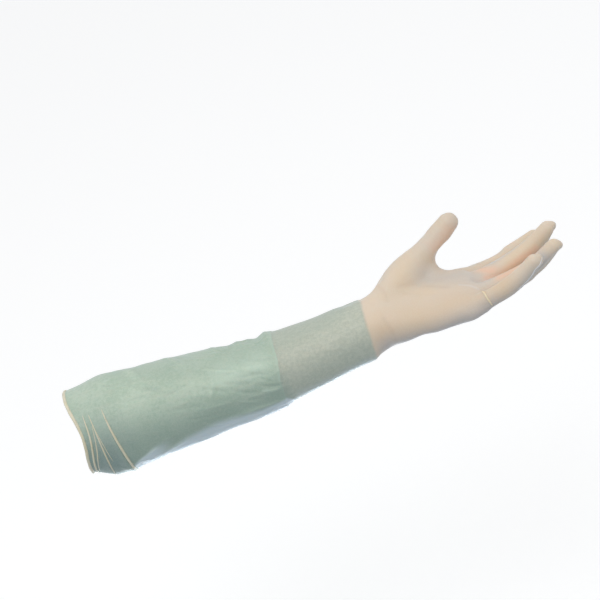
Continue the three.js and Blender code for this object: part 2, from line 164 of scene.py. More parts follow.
# Creases of the film on the arm, each along a line from one place to another. A place is a distance from
# the mouth and an angle about the arm in degrees, from the thumb's side by way of the palm's. Grooves have a
# height below 0.
Crease = namedtuple("Crease", "x angle to_x to_angle bow height width")
CUFF_FOLDS = [Crease(*row) for row in (
    (33, 118, 39, 262, 1.5, 1.0, 1.8), (18, 118, 19, 232, 1.0, 0.8, 1.5), (20, 140, 24, 192, 0.5, 0.5, 1.2),
    (17, 136, 6, 214, -1.0, 0.7, 1.3), (26, 150, 30, 236, 1.0, -0.7, 3.0),
    (44, 120, 50, 250, 1.5, -0.8, 4.5),
)]
LOOSE_EDGE = [Crease(*row) for row in (
    (40, 238, 200, 238, -2.0, -1.3, 7.0), (44, 222, 196, 222, 2.0, -0.8, 5.0),
    (36, 210, 72, 190, 0.8, 1.0, 1.7), (62, 212, 100, 195, 0.0, 0.7, 2.2),
    (138, 191, 196, 195, -1.5, 0.9, 1.7),
)]
UPPER_CREASES = [Crease(*row) for row in (
    (45, 66, 292, 66, 0, -1.9, 30), (140, 40, 152, 96, 1.0, 1.0, 2.6), (156, 30, 160, 96, 0.0, -1.1, 6.0),
    (165, 36, 174, 92, 1.0, 0.9, 2.4), (184, 24, 187, 100, 0.0, -2.4, 5.0),
    (193, 30, 197, 92, 0.0, 0.9, 2.4), (175, 90, 169, 114, 0.3, -1.0, 1.5),
    (96, 44, 118, 100, 2.0, 0.8, 3.4), (60, 50, 74, 108, 2.0, 0.7, 4.0),
    (134, 136, 129, 152, 0.5, 0.8, 1.8), (176, 144, 195, 163, 0.6, -1.0, 1.4),
    (174, 155, 194, 168, 0.5, -0.9, 1.4), (180, 149, 196, 166, -0.4, 0.9, 1.4),
    (168, 161, 192, 172, 0.5, 0.8, 1.5), (150, 150, 176, 166, 1.0, -0.7, 1.8),
    (150, 118, 186, 134, 1.5, 0.5, 2.4), (112, 122, 150, 150, -1.5, 0.5, 2.8),
)]

# Rolled ridges of film at the cuff, each along the same kind of line
Ridge = namedtuple("Ridge", "x angle to_x to_angle bow radius")
RIDGES = [Ridge(*row) for row in (
    (33, 124, 39, 260, 1.5, 1.25), (18, 124, 19, 224, 1.0, 0.8), (20, 146, 24, 190, 0.5, 0.4),
    (17, 138, 6, 212, -1.0, 0.65), (10.5, 122, 3.2, 240, -1.6, 1.0),
)]
RIDGE_POINTS = 90
LITTLE_POINTS = 60
LITTLE_FOLD_RADIUS = 0.85
LITTLE_EDGE_RADIUS = 0.6
TUBE_SIDES = 8
TUBE_ENDS = (0.004, 0.996)
TUBE_TAPER = 0.45
TUBE_RISE = 0.25  # how far a ridge is raised out of the film, as a share of its radius
BEAD_POINTS = 240
BEAD_SIDES = 14
BEAD_UNEVEN = 0.1  # how much its radius varies round the mouth, as a share
BEAD_TWIST = 0.05
BEAD_TWISTS = 17

# The cuff is drawn towards the hand where it is gathered, and drawn in just below that.
PULL = 8.0
PULL_ANGLE = 146.0
PULL_SPREAD = 40.0
PULL_DEPTH = 30.0
DRAWN_IN = 4.5
DRAWN_ANGLE = 226.0
DRAWN_SPREAD = 46.0
DRAWN_DEPTH = 23.0


def smooth_step(value, low, high):
    t = np.clip((value - low) / (high - low), 0, 1)
    return t * t * (3 - 2 * t)


def fade(value, span):
    """1 below a span and 0 above it."""
    return 1 - smooth_step(value, *span)


def smooth_way(a, b, slope_a, slope_b, t):
    """From a to b as t goes from 0 to 1, with a slope at each end."""
    return (a * (2 * t**3 - 3 * t**2 + 1) + b * (3 * t**2 - 2 * t**3)
            + slope_a * (t**3 - 2 * t**2 + t) + slope_b * (t**3 - t**2))


def arm_row(x):
    """Middle and half sizes of the arm at places along it, with smooth slopes through the table's rows."""
    table = np.array(ARM, float)
    xs = table[:, 0]
    i = np.clip(np.searchsorted(xs, x) - 1, 0, len(xs) - 2)
    low = np.maximum(np.arange(len(xs)) - 1, 0)
    high = np.minimum(np.arange(len(xs)) + 1, len(xs) - 1)
    slopes = (table[high] - table[low]) / (xs[high] - xs[low])[:, None]
    span = (xs[i + 1] - xs[i])[..., None]
    t = np.clip((x - xs[i])[..., None] / span, 0, 1)
    row = smooth_way(table[i], table[i + 1], slopes[i] * span, slopes[i + 1] * span, t)
    return row[..., 1], row[..., 2], row[..., 3], row[..., 4]


def arm_point(x, angle):
    y, z, across, through = arm_row(np.asarray(x, float))
    c, s = np.cos(angle), np.sin(angle)
    reach = (np.abs(c) ** SQUARENESS + np.abs(s) ** SQUARENESS) ** (-1 / SQUARENESS)
    return np.stack([x + 0 * c, y + across * reach * c, z + through * reach * s], axis=-1)


def arm_angle(p):
    y, z, across, through = arm_row(p[:, 0])
    return np.arctan2((p[:, 2] - z) / through, (p[:, 1] - y) / across) % (2 * np.pi)


def arm_distance(p):
    """How far points lie outside the arm and palm; negative inside."""
    y, z, across, through = arm_row(p[:, 0])
    dy, dz = p[:, 1] - y, p[:, 2] - z
    level = ((np.abs(dy) / across) ** SQUARENESS + (np.abs(dz) / through) ** SQUARENESS) ** (1 / SQUARENESS)
    beside = np.hypot(dy, dz) * (1 - 1 / np.maximum(level, LEAST_LEVEL))
    beyond = np.maximum(p[:, 0] - ARM[-1].x, 0)
    return np.where(beyond > 0, np.hypot(np.maximum(beside, 0), beyond), beside)


class Form:
    """A rounded form: a smooth centreline through its balls, and the distance outside it."""

    FINE = 5

    def __init__(self, rows):
        self.places = np.array([row[:3] for row in rows], float) + WRIST
        self.radii = np.array([row.radius for row in rows], float)
        count = (len(rows) - 1) * self.FINE
        shares = np.arange(count + 1) / count
        middles = np.array([self.middle(t) for t in shares])
        radii = np.array([self.radius(t) for t in shares])
        self.start, self.step = middles[:-1], middles[1:] - middles[:-1]
        self.radius_start, self.radius_step = radii[:-1], radii[1:] - radii[:-1]

    def middle(self, t):
        places = self.places
        s = t * (len(places) - 1)
        k = min(int(s), len(places) - 2)
        w = s - k
        b, c = places[k], places[k + 1]
        a = places[k - 1] if k > 0 else 2 * b - c
        d = places[k + 2] if k + 2 < len(places) else 2 * c - b
        ab, bc, cd = (np.linalg.norm(q - p) ** 0.5 for p, q in ((a, b), (b, c), (c, d)))
        slope_b = ((b - a) / ab - (c - a) / (ab + bc) + (c - b) / bc) * bc
        slope_c = ((c - b) / bc - (d - b) / (bc + cd) + (d - c) / cd) * bc
        return smooth_way(b, c, slope_b, slope_c, w)

    def radius(self, t):
        return np.interp(t * (len(self.radii) - 1), np.arange(len(self.radii)), self.radii)

    def tangent(self, t):
        low, high = max(t - TANGENT_STEP, 0), min(t + TANGENT_STEP, 1)
        step = self.middle(high) - self.middle(low)
        return step / np.linalg.norm(step)

    def length(self):
        return np.linalg.norm(self.step, axis=1).sum()

    def distance(self, p):
        away = p[:, None, :] - self.start
        t = np.clip((away * self.step).sum(-1) / (self.step**2).sum(-1), 0, 1)
        gap = np.linalg.norm(away - t[..., None] * self.step, axis=-1)
        return (gap - self.radius_start - t * self.radius_step).min(axis=1)

    def ring(self, t, side, first_angle, count, growth=1.0, shift=0.0):
        """Points about the centreline, square to it. The first lies at an angle from the side axis."""
        tangent = self.tangent(t)
        up = np.cross(tangent, side)
        up /= np.linalg.norm(up)
        across = np.cross(up, tangent)
        angles = np.radians(first_angle + 360 * np.arange(count) / count)[:, None]
        reach = self.radius(t) * growth
        return self.middle(t) + tangent * shift + reach * (np.cos(angles) * across + np.sin(angles) * up)


HAND = {name: Form(rows) for name, rows in FORMS.items()}
WHOLE_HAND = tuple(HAND)


def merged(a, b, blend):
    """Two distances, as that to both forms merged with a fillet."""
    overlap = np.maximum(blend - np.abs(a - b), 0) / blend
    return np.minimum(a, b) - overlap**2 * blend / 4


def hand_distance(p, forms=WHOLE_HAND):
    """How far points lie outside the arm and the named forms of the hand."""
    rest = arm_distance(p)
    reached = p[:, 0] > WRIST[0] - HAND_OVERLAP
    if not reached.any():
        return rest
    near = p[reached]
    merged_rest = rest[reached]
    fingers = np.full(len(near), FAR)
    for name in forms:
        distance = HAND[name].distance(near)
        if name in FINGERS:
            fingers = merged(fingers, distance, WEB_BLEND)
        else:
            merged_rest = merged(merged_rest, distance, BLEND)
    rest[reached] = merged(fingers, merged_rest, BLEND)
    return rest


def hand_slope(p, forms=WHOLE_HAND):
    slope = np.empty_like(p)
    for axis, step in enumerate(np.eye(3) * SLOPE_NUDGE):
        rise = hand_distance(p + step, forms) - hand_distance(p - step, forms)
        slope[:, axis] = rise / (2 * SLOPE_NUDGE)
    return slope


def settle(p, forms=WHOLE_HAND, rounds=4):
    """Points moved onto the hand's surface."""
    for _ in range(rounds):
        slope = hand_slope(p, forms)
        steep = np.maximum((slope**2).sum(axis=1), FLATTEST)
        p = p - slope * (hand_distance(p, forms) / steep)[:, None]
    return p


def even_angle(i, around=AROUND):
    share = around // AROUND
    return 2 * np.pi * (i / share + EDGE_RUN / 2) / AROUND


def finger_line_point(i):
    """Where a point round the arm ends up on the line that the fingers start from."""
    on_back = TOP + EDGE_RUN <= i <= AROUND - EDGE_RUN
    if i <= TOP or on_back:
        column = AROUND - EDGE_RUN - i if on_back else i
        k = min(column // FINGER_RUN, len(FINGER_EDGES) - 2)
        share = column / FINGER_RUN - k
        p = FINGER_EDGES[k] * (1 - share) + FINGER_EDGES[k + 1] * share
        rise = -HALF_PALM if on_back else HALF_PALM
    else:
        little_side = i < TOP + EDGE_RUN
        down = (i - TOP) / EDGE_RUN if little_side else (AROUND - i) / EDGE_RUN
        p = FINGER_EDGES[-1 if little_side else 0]
        rise = HALF_PALM * (1 - 2 * down)
    return p + WRIST + np.array((-WEB_SETBACK, 0, rise))


def palm_point(i, share):
    angle = even_angle(i)
    made = arm_point(PALM_START, angle) * (1 - share) + finger_line_point(i) * share
    mix = smooth_step(share, PALM_FLATTENS, 1)
    return arm_point(made[0], angle) * (1 - mix) + made * mix


def placed(name, data):
    """An object in the scene."""
    obj = bpy.data.objects.new(name, data)
    bpy.context.scene.collection.objects.link(obj)
    return obj


class Cage:
    """The coarse mesh of the film's surface: corners, which of them slide on the hand, and faces."""

    def __init__(self, arm_step, around):
        self.corners = []
        self.settled = []
        self.sliding = []
        self.faces = []
        self.hand(self.forearm(arm_step, around))

    def add(self, p, forms=None, slides=False):
        self.corners.append(np.asarray(p, float))
        if forms:
            self.settled.append((len(self.corners) - 1, forms))
        if slides:
            self.sliding.append(len(self.corners) - 1)
        return len(self.corners) - 1

    def bridge(self, lower, upper):
        for i, corner in enumerate(lower):
            k = (i + 1) % len(lower)
            self.faces.append((corner, lower[k], upper[k], upper[i]))
        return upper

    def narrow(self, lower, upper):
        """Joins a ring to one with half as many corners."""
        for i, corner in enumerate(upper):
            ahead = upper[(i + 1) % len(upper)]
            a, b, c = (lower[(2 * i + k) % len(lower)] for k in range(3))
            self.faces += [(a, b, corner), (b, c, ahead, corner)]
        return upper

    def forearm(self, arm_step, around):
        count = math.ceil(PALM_START / arm_step)
        xs = np.linspace(0, PALM_START, count + 1)
        last = None
        for x in xs[:-1]:
            ring = [self.add(arm_point(x, even_angle(i, around))) for i in range(around)]
            last = self.bridge(last, ring) if last else ring
        wrist = [self.add(arm_point(PALM_START, even_angle(i)), WHOLE_HAND) for i in range(AROUND)]
        return self.narrow(last, wrist) if around > AROUND else self.bridge(last, wrist)

    def palm_ring(self, share, thumb, split_ring, towards_thumb):
        ring = np.array([palm_point(i, share) for i in range(AROUND)])
        for n, i in enumerate(thumb):
            ring[i] += (split_ring[n] - ring[i]) * towards_thumb
        return [self.add(p, WHOLE_HAND, share < 1) for p in settle(ring)]

    def hand(self, last):
        thumb = [i % AROUND for i in range(THUMB_FIRST, AROUND + THUMB_LAST + 1)]
        split_ring = HAND["thumb"].ring(THUMB_SPLIT_PLACE, THUMB_SIDE, THUMB_ROOT_ANGLE, 2 * len(thumb) - 2)
        split_share = THUMB_SPLIT / FINGER_EDGES[1][0]
        for i in range(1, RINGS_TO_SPLIT + 1):
            way = i / RINGS_TO_SPLIT
            ring = self.palm_ring(split_share * way, thumb, split_ring, smooth_step(way, 0, 1))
            last = self.bridge(last, ring)

        inner = thumb[1:-1]
        web = []
        for n in range(len(inner)):
            down = (n + 1) / (len(inner) + 1)
            p = self.corners[last[THUMB_FIRST]] * (1 - down) + self.corners[last[THUMB_LAST]] * down
            pull = THUMB_WEB_PULL * math.sin(math.pi * down)
            web.append(self.add(p + (THUMB_WEB + WRIST - p) * pull, WHOLE_HAND, True))
        root = [last[i] for i in thumb] + web[::-1]
        self.digit(root, "thumb", THUMB_CLEAR, THUMB_SIDE, THUMB_ROOT_ANGLE, ("thenar", "web", "thumb"))
        last = [web[inner.index(i)] if i in inner else corner for i, corner in enumerate(last)]
        for i in range(1, RINGS_PAST_SPLIT + 1):
            share = split_share + (1 - split_share) * i / RINGS_PAST_SPLIT
            last = self.bridge(last, self.palm_ring(share, [], [], 0))

        edges = [[last[AROUND - 1], last[AROUND - 2]]]
        names = list(FINGERS)
        for k in range(1, len(names)):
            beside = names[k - 1:k + 1]
            edges.append([self.web_corner(FINGER_EDGES[k], rise, beside) for rise in (WEB_RISE, -WEB_RISE)])
        edges.append([last[TOP + 1], last[TOP + 2]])
        for k, (name, clear) in enumerate(FINGERS.items()):
            start = k * FINGER_RUN
            back = AROUND - EDGE_RUN - start
            palm_side = last[start:start + FINGER_RUN + 1]
            back_side = last[back - FINGER_RUN:back + 1]
            root = palm_side + edges[k + 1] + back_side + edges[k][::-1]
            self.digit(root, name, clear, np.array((0.0, 1.0, 0.0)), ROOT_ANGLE)

    def web_corner(self, edge, rise, beside):
        p = edge + WRIST + np.array((-WEB_SETBACK, 0, rise))
        while hand_distance(p[None], beside)[0] < 0:
            to_first, to_second = (HAND[name].distance(p[None] + (WEB_SEARCH, 0, 0))[0] for name in beside)
            p += (WEB_SEARCH, (to_first - to_second) / 2, 0)
        return self.add(p)

    def digit(self, root, name, clear, side, first_angle, root_forms=None):
        form = HAND[name]
        start = 0.0
        while form.middle(start)[0] < WRIST[0] + clear:
            start += ALONG_STEP
        count = round(form.length() * (1 - start) / DIGIT_STEP)
        last = root
        for i in range(count + 1):
            ring = form.ring(start + (1 - start) * i / count, side, first_angle, len(root))
            forms = root_forms if i == 0 else None
            last = self.bridge(last, [self.add(p, forms, forms is not None) for p in ring])
        for tilt in TIP_TILTS:
            turn = math.radians(tilt)
            shift = form.radius(1) * math.sin(turn)
            ring = form.ring(1, side, first_angle, len(root), math.cos(turn), shift)
            last = self.bridge(last, [self.add(p) for p in ring])
        tip = self.add(form.middle(1) + form.tangent(1) * form.radius(1))
        self.faces += [(corner, last[(i + 1) % len(last)], tip) for i, corner in enumerate(last)]

    def even_out(self):
        """Spreads the sliding corners evenly, keeping each on the surface."""
        corners = np.array(self.corners)
        pairs = {tuple(sorted((f[i], f[i - 1]))) for f in self.faces for i in range(len(f))}
        a, b = np.array(sorted(pairs)).T
        number = np.bincount(np.concatenate([a, b]), minlength=len(corners))[:, None]
        slide = np.array(self.sliding)
        for _ in range(EVENING_ROUNDS):
            total = np.zeros_like(corners)
            np.add.at(total, a, corners[b])
            np.add.at(total, b, corners[a])
            mean = (corners[slide] + total[slide] / number[slide]) / 2
            corners[slide] = settle(mean)
        return corners

    def surface(self, levels):
        """The smooth mesh: rounded by subdivision and settled onto the hand, with its faces."""
        mesh = bpy.data.meshes.new("cage")
        mesh.from_pydata(self.even_out(), [], self.faces)
        obj = placed("cage", mesh)
        rounding = obj.modifiers.new("rounding", "SUBSURF")
        rounding.levels = levels
        rounding.boundary_smooth = "ALL"
        made = obj.evaluated_get(bpy.context.evaluated_depsgraph_get()).to_mesh()
        points = np.empty(len(made.vertices) * 3)
        made.vertices.foreach_get("co", points)
        corners = np.empty(len(made.loops), int)
        made.loops.foreach_get("vertex_index", corners)
        faces = corners.reshape(-1, 4)
        bpy.data.objects.remove(obj)
        bpy.data.meshes.remove(mesh)
        return rounded_web(settle(points.reshape(-1, 3)), faces, WEB_ROUNDS * levels**2), faces


def rounded_web(points, faces, rounds):
    """Rounds out the web between the thumb and the hand."""
    gap = np.linalg.norm(points - THUMB_WEB - WRIST, axis=1)
    share = WEB_SHARE * (1 - smooth_step(gap, WEB_CORE, WEB_REACH))[:, None]
    a, b = np.concatenate([faces, np.roll(faces, 1, axis=1)]).reshape(2, -1)
    near = share[a, 0] > 0
    a, b = a[near], b[near]
    number = np.maximum(np.bincount(a, minlength=len(points)), 1)[:, None]
    for _ in range(rounds):
        total = np.zeros_like(points)
        np.add.at(total, a, points[b])
        points = np.where(share > 0, points * (1 - share) + share * total / number, points)
    return points


CREASE_ENDS = (0.02, 0.98)
CREASE_TAPER = 0.6


def crease_height(x, angle, creases):
    """How far creases lift the film at places on the arm, unrolled at each crease's own size."""
    height = np.zeros_like(x)
    for crease in creases:
        radius = np.mean(arm_row(np.array((crease.x, crease.to_x), float))[2:])
        turn = math.radians((crease.angle + crease.to_angle) / 2)
        along = (angle - turn + np.pi) % (2 * np.pi) - np.pi
        start = np.array((crease.x, radius * math.radians((crease.angle - crease.to_angle) / 2)))
        step = np.array((crease.to_x - crease.x, radius * math.radians(crease.to_angle - crease.angle)))
        length = np.hypot(*step)
        place = np.stack([x, radius * along], axis=-1) - start
        t = np.clip(place @ step / length**2, 0, 1)
        across = (place @ np.array((-step[1], step[0]))) / length - crease.bow * np.sin(np.pi * t)
        beyond = place @ step / length - np.clip(place @ step / length, 0, length)
        gap = np.hypot(across, beyond)
        taper = np.sin(np.pi * np.clip(t, *CREASE_ENDS)) ** CREASE_TAPER
        height += crease.height * taper * np.exp(-((gap / crease.width) ** 2))
    return height


# Small creases drawn by chance: how many, the ranges of their starts, lengths, heights and widths, the last
# place they reach, the mean and spread of their slants in degrees, and the arm's radius there
FineRun = namedtuple("FineRun", "count starts end lengths slants radius heights widths")
UPPER_FINE = FineRun(150, (14, 186), 198, (12, 42), (24, 20), 42, (0.18, 0.6), (1.1, 2.3))
UPPER_FINE_BOWS = (0, 1.2)
BAND_FINE = FineRun(46, (204, 270), 286, (14, 36), (10, 10), 32, (0.08, 0.2), (1.0, 1.8))
BAND_FINE_BOW = 0.5


def fine_creases(seed=7):
    """Small creases of the film all along the arm, mostly lengthwise and slanting."""
    chance = np.random.default_rng(seed)
    creases = []
    for run in (UPPER_FINE, BAND_FINE):
        on_upper = run is UPPER_FINE
        for _ in range(run.count):
            x, angle, length, slant = (
                chance.uniform(*run.starts), chance.uniform(0, 360), chance.uniform(*run.lengths),
                math.radians(chance.normal(*run.slants)),
            )
            if on_upper and x + length > run.end:
                length = run.end - x
            turn = math.degrees(length * math.sin(slant) / run.radius)
            height = chance.uniform(*run.heights)
            sign = chance.choice((-1, 1)) if on_upper else 1
            width = chance.uniform(*run.widths)
            bow = chance.normal(*UPPER_FINE_BOWS) if on_upper else BAND_FINE_BOW
            end = x + length if on_upper else min(x + length, run.end)
            creases.append(Crease(x, angle, end, angle + turn, bow, height * sign, width))
    return creases


# Lines round the arm where the film steps down: where its upper part ends, halfway down the forearm, and
# where the band above the wrist ends. Each is a table of angles about the arm and places along it.
Step = namedtuple("Step", "line height width")
UPPER_END = Step([
    (0, 200), (40, 201.5), (79, 200.6), (103, 198.3), (133, 198), (147, 196.7), (162, 193.8), (182, 192),
    (220, 192), (280, 194), (330, 198), (360, 200),
], 0.9, 2.4)
BAND_END = Step([
    (0, 287.6), (60, 289), (86, 288.7), (101, 287.2), (128, 286), (164, 284.8), (191, 284.4), (250, 284),
    (310, 286), (360, 287.6),
], 0.7, 2.2)
STEP_REACH = 14.0  # how far from its line a step levels out
ARM_END = (292, 304)  # where the arm's creases run out over the hand
Wave = namedtuple("Wave", "height length phase")
SLOW_WAVE = Wave(0.45, 17, 0.7)
QUICK_WAVE = Wave(0.3, 9, 1.3)
WAVE_START = (6, 24)
WAVE_END = (186, 200)
HAND_CREASE_DEPTH = 0.2
HAND_CREASE_REACH = 4.0
FOLD_HEIGHT = 0.35
FOLD_REACH = 2.5


def past_step(x, angle, step):
    """How far along the glove points lie past a step."""
    return x - np.interp(np.degrees(angle), *np.array(step.line, float).T)


def degrees_from(angle, middle):
    """How many degrees angles lie from a middle one."""
    return (np.degrees(angle) - middle + 180) % 360 - 180


def near_angle(angle, middle, spread):
    """1 at an angle about the arm, fading away from it."""
    return np.exp(-((degrees_from(angle, middle) / spread) ** 2))


def sagging(x, angle):
    """Long shallow waves of the wide upper part."""
    turning = np.sin(3 * angle + SLOW_WAVE.phase)
    slow = SLOW_WAVE.height * np.sin(x / SLOW_WAVE.length + 2 * angle) * turning
    quick = QUICK_WAVE.height * np.sin(x / QUICK_WAVE.length - 3 * angle + QUICK_WAVE.phase)
    return (slow + quick) * smooth_step(x, *WAVE_START) * fade(x, WAVE_END)


def relief(p):
    """How far the film stands proud of the arm's and hand's smooth forms."""
    x = p[:, 0]
    angle = arm_angle(p)
    height = crease_height(x, angle, CUFF_FOLDS + LOOSE_EDGE + UPPER_CREASES + fine_creases())
    for step in (UPPER_END, BAND_END):
        past = past_step(x, angle, step)
        drop = 0.5 - smooth_step(past, -step.width / 2, step.width / 2)
        height += step.height * drop * np.exp(-((past / STEP_REACH) ** 2))
    height += sagging(x, angle)
    height -= DRAWN_IN * near_angle(angle, DRAWN_ANGLE, DRAWN_SPREAD) * fade(x, (0, DRAWN_DEPTH))
    height *= fade(x, ARM_END)
    height -= HAND_CREASE_DEPTH * near_paths(p, HAND_CREASES, HAND_CREASE_REACH)
    height += FOLD_HEIGHT * near_paths(p, [LITTLE_FOLD], FOLD_REACH)
    for shaping in SHAPING:
        height += shaping.height * near_paths(p, [shaping.path], shaping.reach)
    return height


def dressed(p):
    """Places of the film over points of the smooth form, and the directions that face out."""
    slope = hand_slope(p)
    out = slope / np.linalg.norm(slope, axis=1)[:, None]
    places = p + out * relief(p)[:, None]
    pull = PULL * near_angle(arm_angle(p), PULL_ANGLE, PULL_SPREAD)
    places[:, 0] += pull * fade(p[:, 0], (0, PULL_DEPTH))
    return places, out


def near_paths(p, paths, width):
    """1 on paths of straight lines between places, fading to 0 at their width."""
    gap = np.full(len(p), FAR)
    for path in paths:
        for start, end in zip(np.array(path, float), np.array(path[1:], float)):
            step = end - start
            share = np.clip((p - start) @ step / (step @ step), 0, 1)
            gap = np.minimum(gap, np.linalg.norm(p - start - share[:, None] * step, axis=1))
    return 1 - smooth_step(gap, 0, width)


def near_spots(p, spots, core, reach):
    """1 within a distance of places, fading to 0 at their reach."""
    gap = np.min([np.linalg.norm(p - np.array(spot), axis=1) for spot in spots], axis=0)
    return 1 - smooth_step(gap, core, reach)


def film_points(levels, arm_step, around):
    """Smooth places, film places and outward directions of a wall of the glove, with its faces."""
    points, faces = Cage(arm_step, around).surface(levels)
    return points, *dressed(points), faces


def stands_off(x, angle, rows):
    """1 below the line where the film starts to stand off, 0 above it."""
    places, tops, softness = np.array(rows, float).T
    soft = np.interp(x, places, softness)
    return smooth_step((angle - np.interp(x, places, tops)) / soft, -1, 1)


def keep_masks(obj, smooth):
    """Keeps on the mesh how much each point belongs to the loose film, a crease, a patch of colour or a
    patch of painted light or shade.
    """
    x, turn = smooth[:, 0], arm_angle(smooth)
    angle = np.degrees(turn)
    in_front = fade(angle, FRONT_END)
    on_loose = smooth_step(x, *LOOSE_START) * fade(x, LOOSE_END) * in_front
    on_band = smooth_step(x, *BAND_START) * fade(x, BAND_STOP) * in_front
    tongue = stands_off(x, angle, LOOSE_TONGUE) * fade(x, TONGUE_END)
    strip = stands_off(x, angle, LOOSE_STRIP) * smooth_step(x, *STRIP_START)
    lower = smooth_step(angle, *SHADE_SIDE) * in_front
    lighter = 1 - SHADE_DROP * smooth_step(x, *SHADE_DROPS)
    shaded = smooth_step(x, *SHADE_START) * lighter * fade(x, SHADE_END)
    masks = {
        "loose": np.maximum(tongue, strip) * on_loose,
        # Painted light at the loose film's outermost edge, where light shines through it
        "edge": smooth_step(angle, *EDGE_SIDE) * on_loose,
        # Painted rim light along the band's lower side
        "band_rim_glow": smooth_step(angle, *BAND_SIDE) * on_band,
        "shade": lower * shaded,
        # The cuff's lower side: darker film, deepened with painted shadow
        "cuff": fade(x, CUFF_END) * np.exp(-((angle - CUFF_ANGLE) / CUFF_SPREAD) ** 2),
        "past_upper": past_step(x, turn, UPPER_END),
        "past_band": past_step(x, turn, BAND_END),
        # The creases' heights, which the colour uses for painted highlight on ridges and painted shade in
        # grooves
        "fold": crease_height(x, turn, UPPER_CREASES + LOOSE_EDGE + fine_creases()),
        # Painted highlight on the forearm's top side
        "bright": near_spots(smooth, HIGHLIGHT_SPOTS, *HIGHLIGHT_REACH),
    }
    for patch in PATCHES:
        share = near_paths(smooth, patch.paths, patch.reach) * patch.strength
        masks[patch.mask] = np.maximum(masks.get(patch.mask, 0), share)
    for name, values in masks.items():
        attribute = obj.data.attributes.new(name, "FLOAT", "POINT")
        attribute.data.foreach_set("value", np.asarray(values, np.float32))


def new_object(name, points, faces, material):
    mesh = bpy.data.meshes.new(name)
    mesh.from_pydata(np.asarray(points) * MM, [], [tuple(int(c) for c in f) for f in faces])
    mesh.validate()
    mesh.polygons.foreach_set("use_smooth", [True] * len(mesh.polygons))
    mesh.materials.append(material)
    return placed(name, mesh)


def finish_piece(obj):
    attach(obj, BODY)
    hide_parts(NODE)


class Value:
    """A node's output, for use in expressions."""

    def __init__(self, shader, socket):
        self.shader = shader
        self.socket = socket

    def math(self, operation, *values, **settings):
        inputs = dict(enumerate(values))
        return self.shader.add("ShaderNodeMath", inputs, operation=operation, **settings)[0]

    def __add__(self, other):
        return self.math("ADD", self, other)

    def __radd__(self, other):
        return self.math("ADD", other, self)

    def __sub__(self, other):
        return self.math("SUBTRACT", self, other)

    def __rsub__(self, other):
        return self.math("SUBTRACT", other, self)

    def __mul__(self, other):
        return self.math("MULTIPLY", self, other)

    def __rmul__(self, other):
        return self.math("MULTIPLY", other, self)

    def clamped(self):
        return self.math("ADD", self, 0, use_clamp=True)


class Shader:
    """A material whose nodes are written as calls and expressions."""

    def __init__(self, name, library="materials"):
        self.material = getattr(bpy.data, library).new(name)
        self.material.use_nodes = True
        self.tree = self.material.node_tree
        self.tree.nodes.clear()

    def add(self, kind, inputs=None, **settings):
        """Adds a node: its settings first, then the values or links of its sockets. Returns its outputs."""
        node = self.tree.nodes.new(kind)
        for name, value in settings.items():
            setattr(node, name, value)
        for key, value in (inputs or {}).items():
            if isinstance(value, Value):
                self.tree.links.new(value.socket, node.inputs[key])
            else:
                node.inputs[key].default_value = value
        return [Value(self, socket) for socket in node.outputs]

    def mix(self, share, a, b):
        """Colour a turning into colour b. Each is a node's output, or a colour of the photograph's scale."""
        a, b = (colour if isinstance(colour, Value) else rgb(colour) for colour in (a, b))
        return self.add("ShaderNodeMix", {0: share, 6: a, 7: b}, data_type="RGBA")[2]

    def layers(self, colour, *layers):
        """A colour with others over it, each given after its share."""
        for share, over in layers:
            colour = self.mix(share, colour, over)
        return colour

    def largest(self, values):
        total = values[0]
        for value in values[1:]:
            total = total.math("MAXIMUM", total, value)
        return total

    def rise(self, value, low, high):
        """0 below low, 1 above high and smooth between them."""
        inputs = {"Value": value, "From Min": low, "From Max": high}
        return self.add("ShaderNodeMapRange", inputs, interpolation_type="SMOOTHSTEP")[0]

    def noise(self, place, scale, detail=3.0, roughness=0.5):
        inputs = {"Vector": place, "Scale": scale, "Detail": detail, "Roughness": roughness}
        return self.add("ShaderNodeTexNoise", inputs)[0]

    def vector(self, operation, a, b):
        return self.add("ShaderNodeVectorMath", {0: a, 1: b}, operation=operation)

    def bump(self, height, strength, distance):
        inputs = {"Height": height, "Strength": strength, "Distance": distance}
        return self.add("ShaderNodeBump", inputs)[0]

    def attribute(self, name):
        return self.add("ShaderNodeAttribute", attribute_name=name)[2]

    def near_line(self, place, a, b, width):
        """1 on a straight line between two places, in millimetres, fading to 0 at its width."""
        start, end = Vector(a) * MM, Vector(b) * MM
        step = end - start
        away = self.vector("SUBTRACT", place, start)[0]
        along = self.vector("DOT_PRODUCT", away, step / step.length_squared)[1]
        foot = self.add("ShaderNodeVectorMath", {0: step, "Scale": along.clamped()}, operation="SCALE")[0]
        gap = self.vector("DISTANCE", away, foot)[1]
        return 1 - self.rise(gap, 0, width * MM)

    def near_path(self, place, path, width):
        """The same along a path of several places."""
        return self.largest([self.near_line(place, a, b, width) for a, b in zip(path, path[1:])])

    def finished(self, settings):
        """The material, once its surface has these settings."""
        surface = self.add("ShaderNodeBsdfPrincipled", settings)[0]
        self.add("ShaderNodeOutputMaterial", {"Surface": surface})
        return self.material


def rgb(colour):
    """A colour of the photograph's scale, 0 to 255, as linear values."""
    values = [c / 255 for c in colour]
    return tuple(c / 12.92 if c <= 0.04045 else ((c + 0.055) / 1.055) ** 2.4 for c in values) + (1.0,)


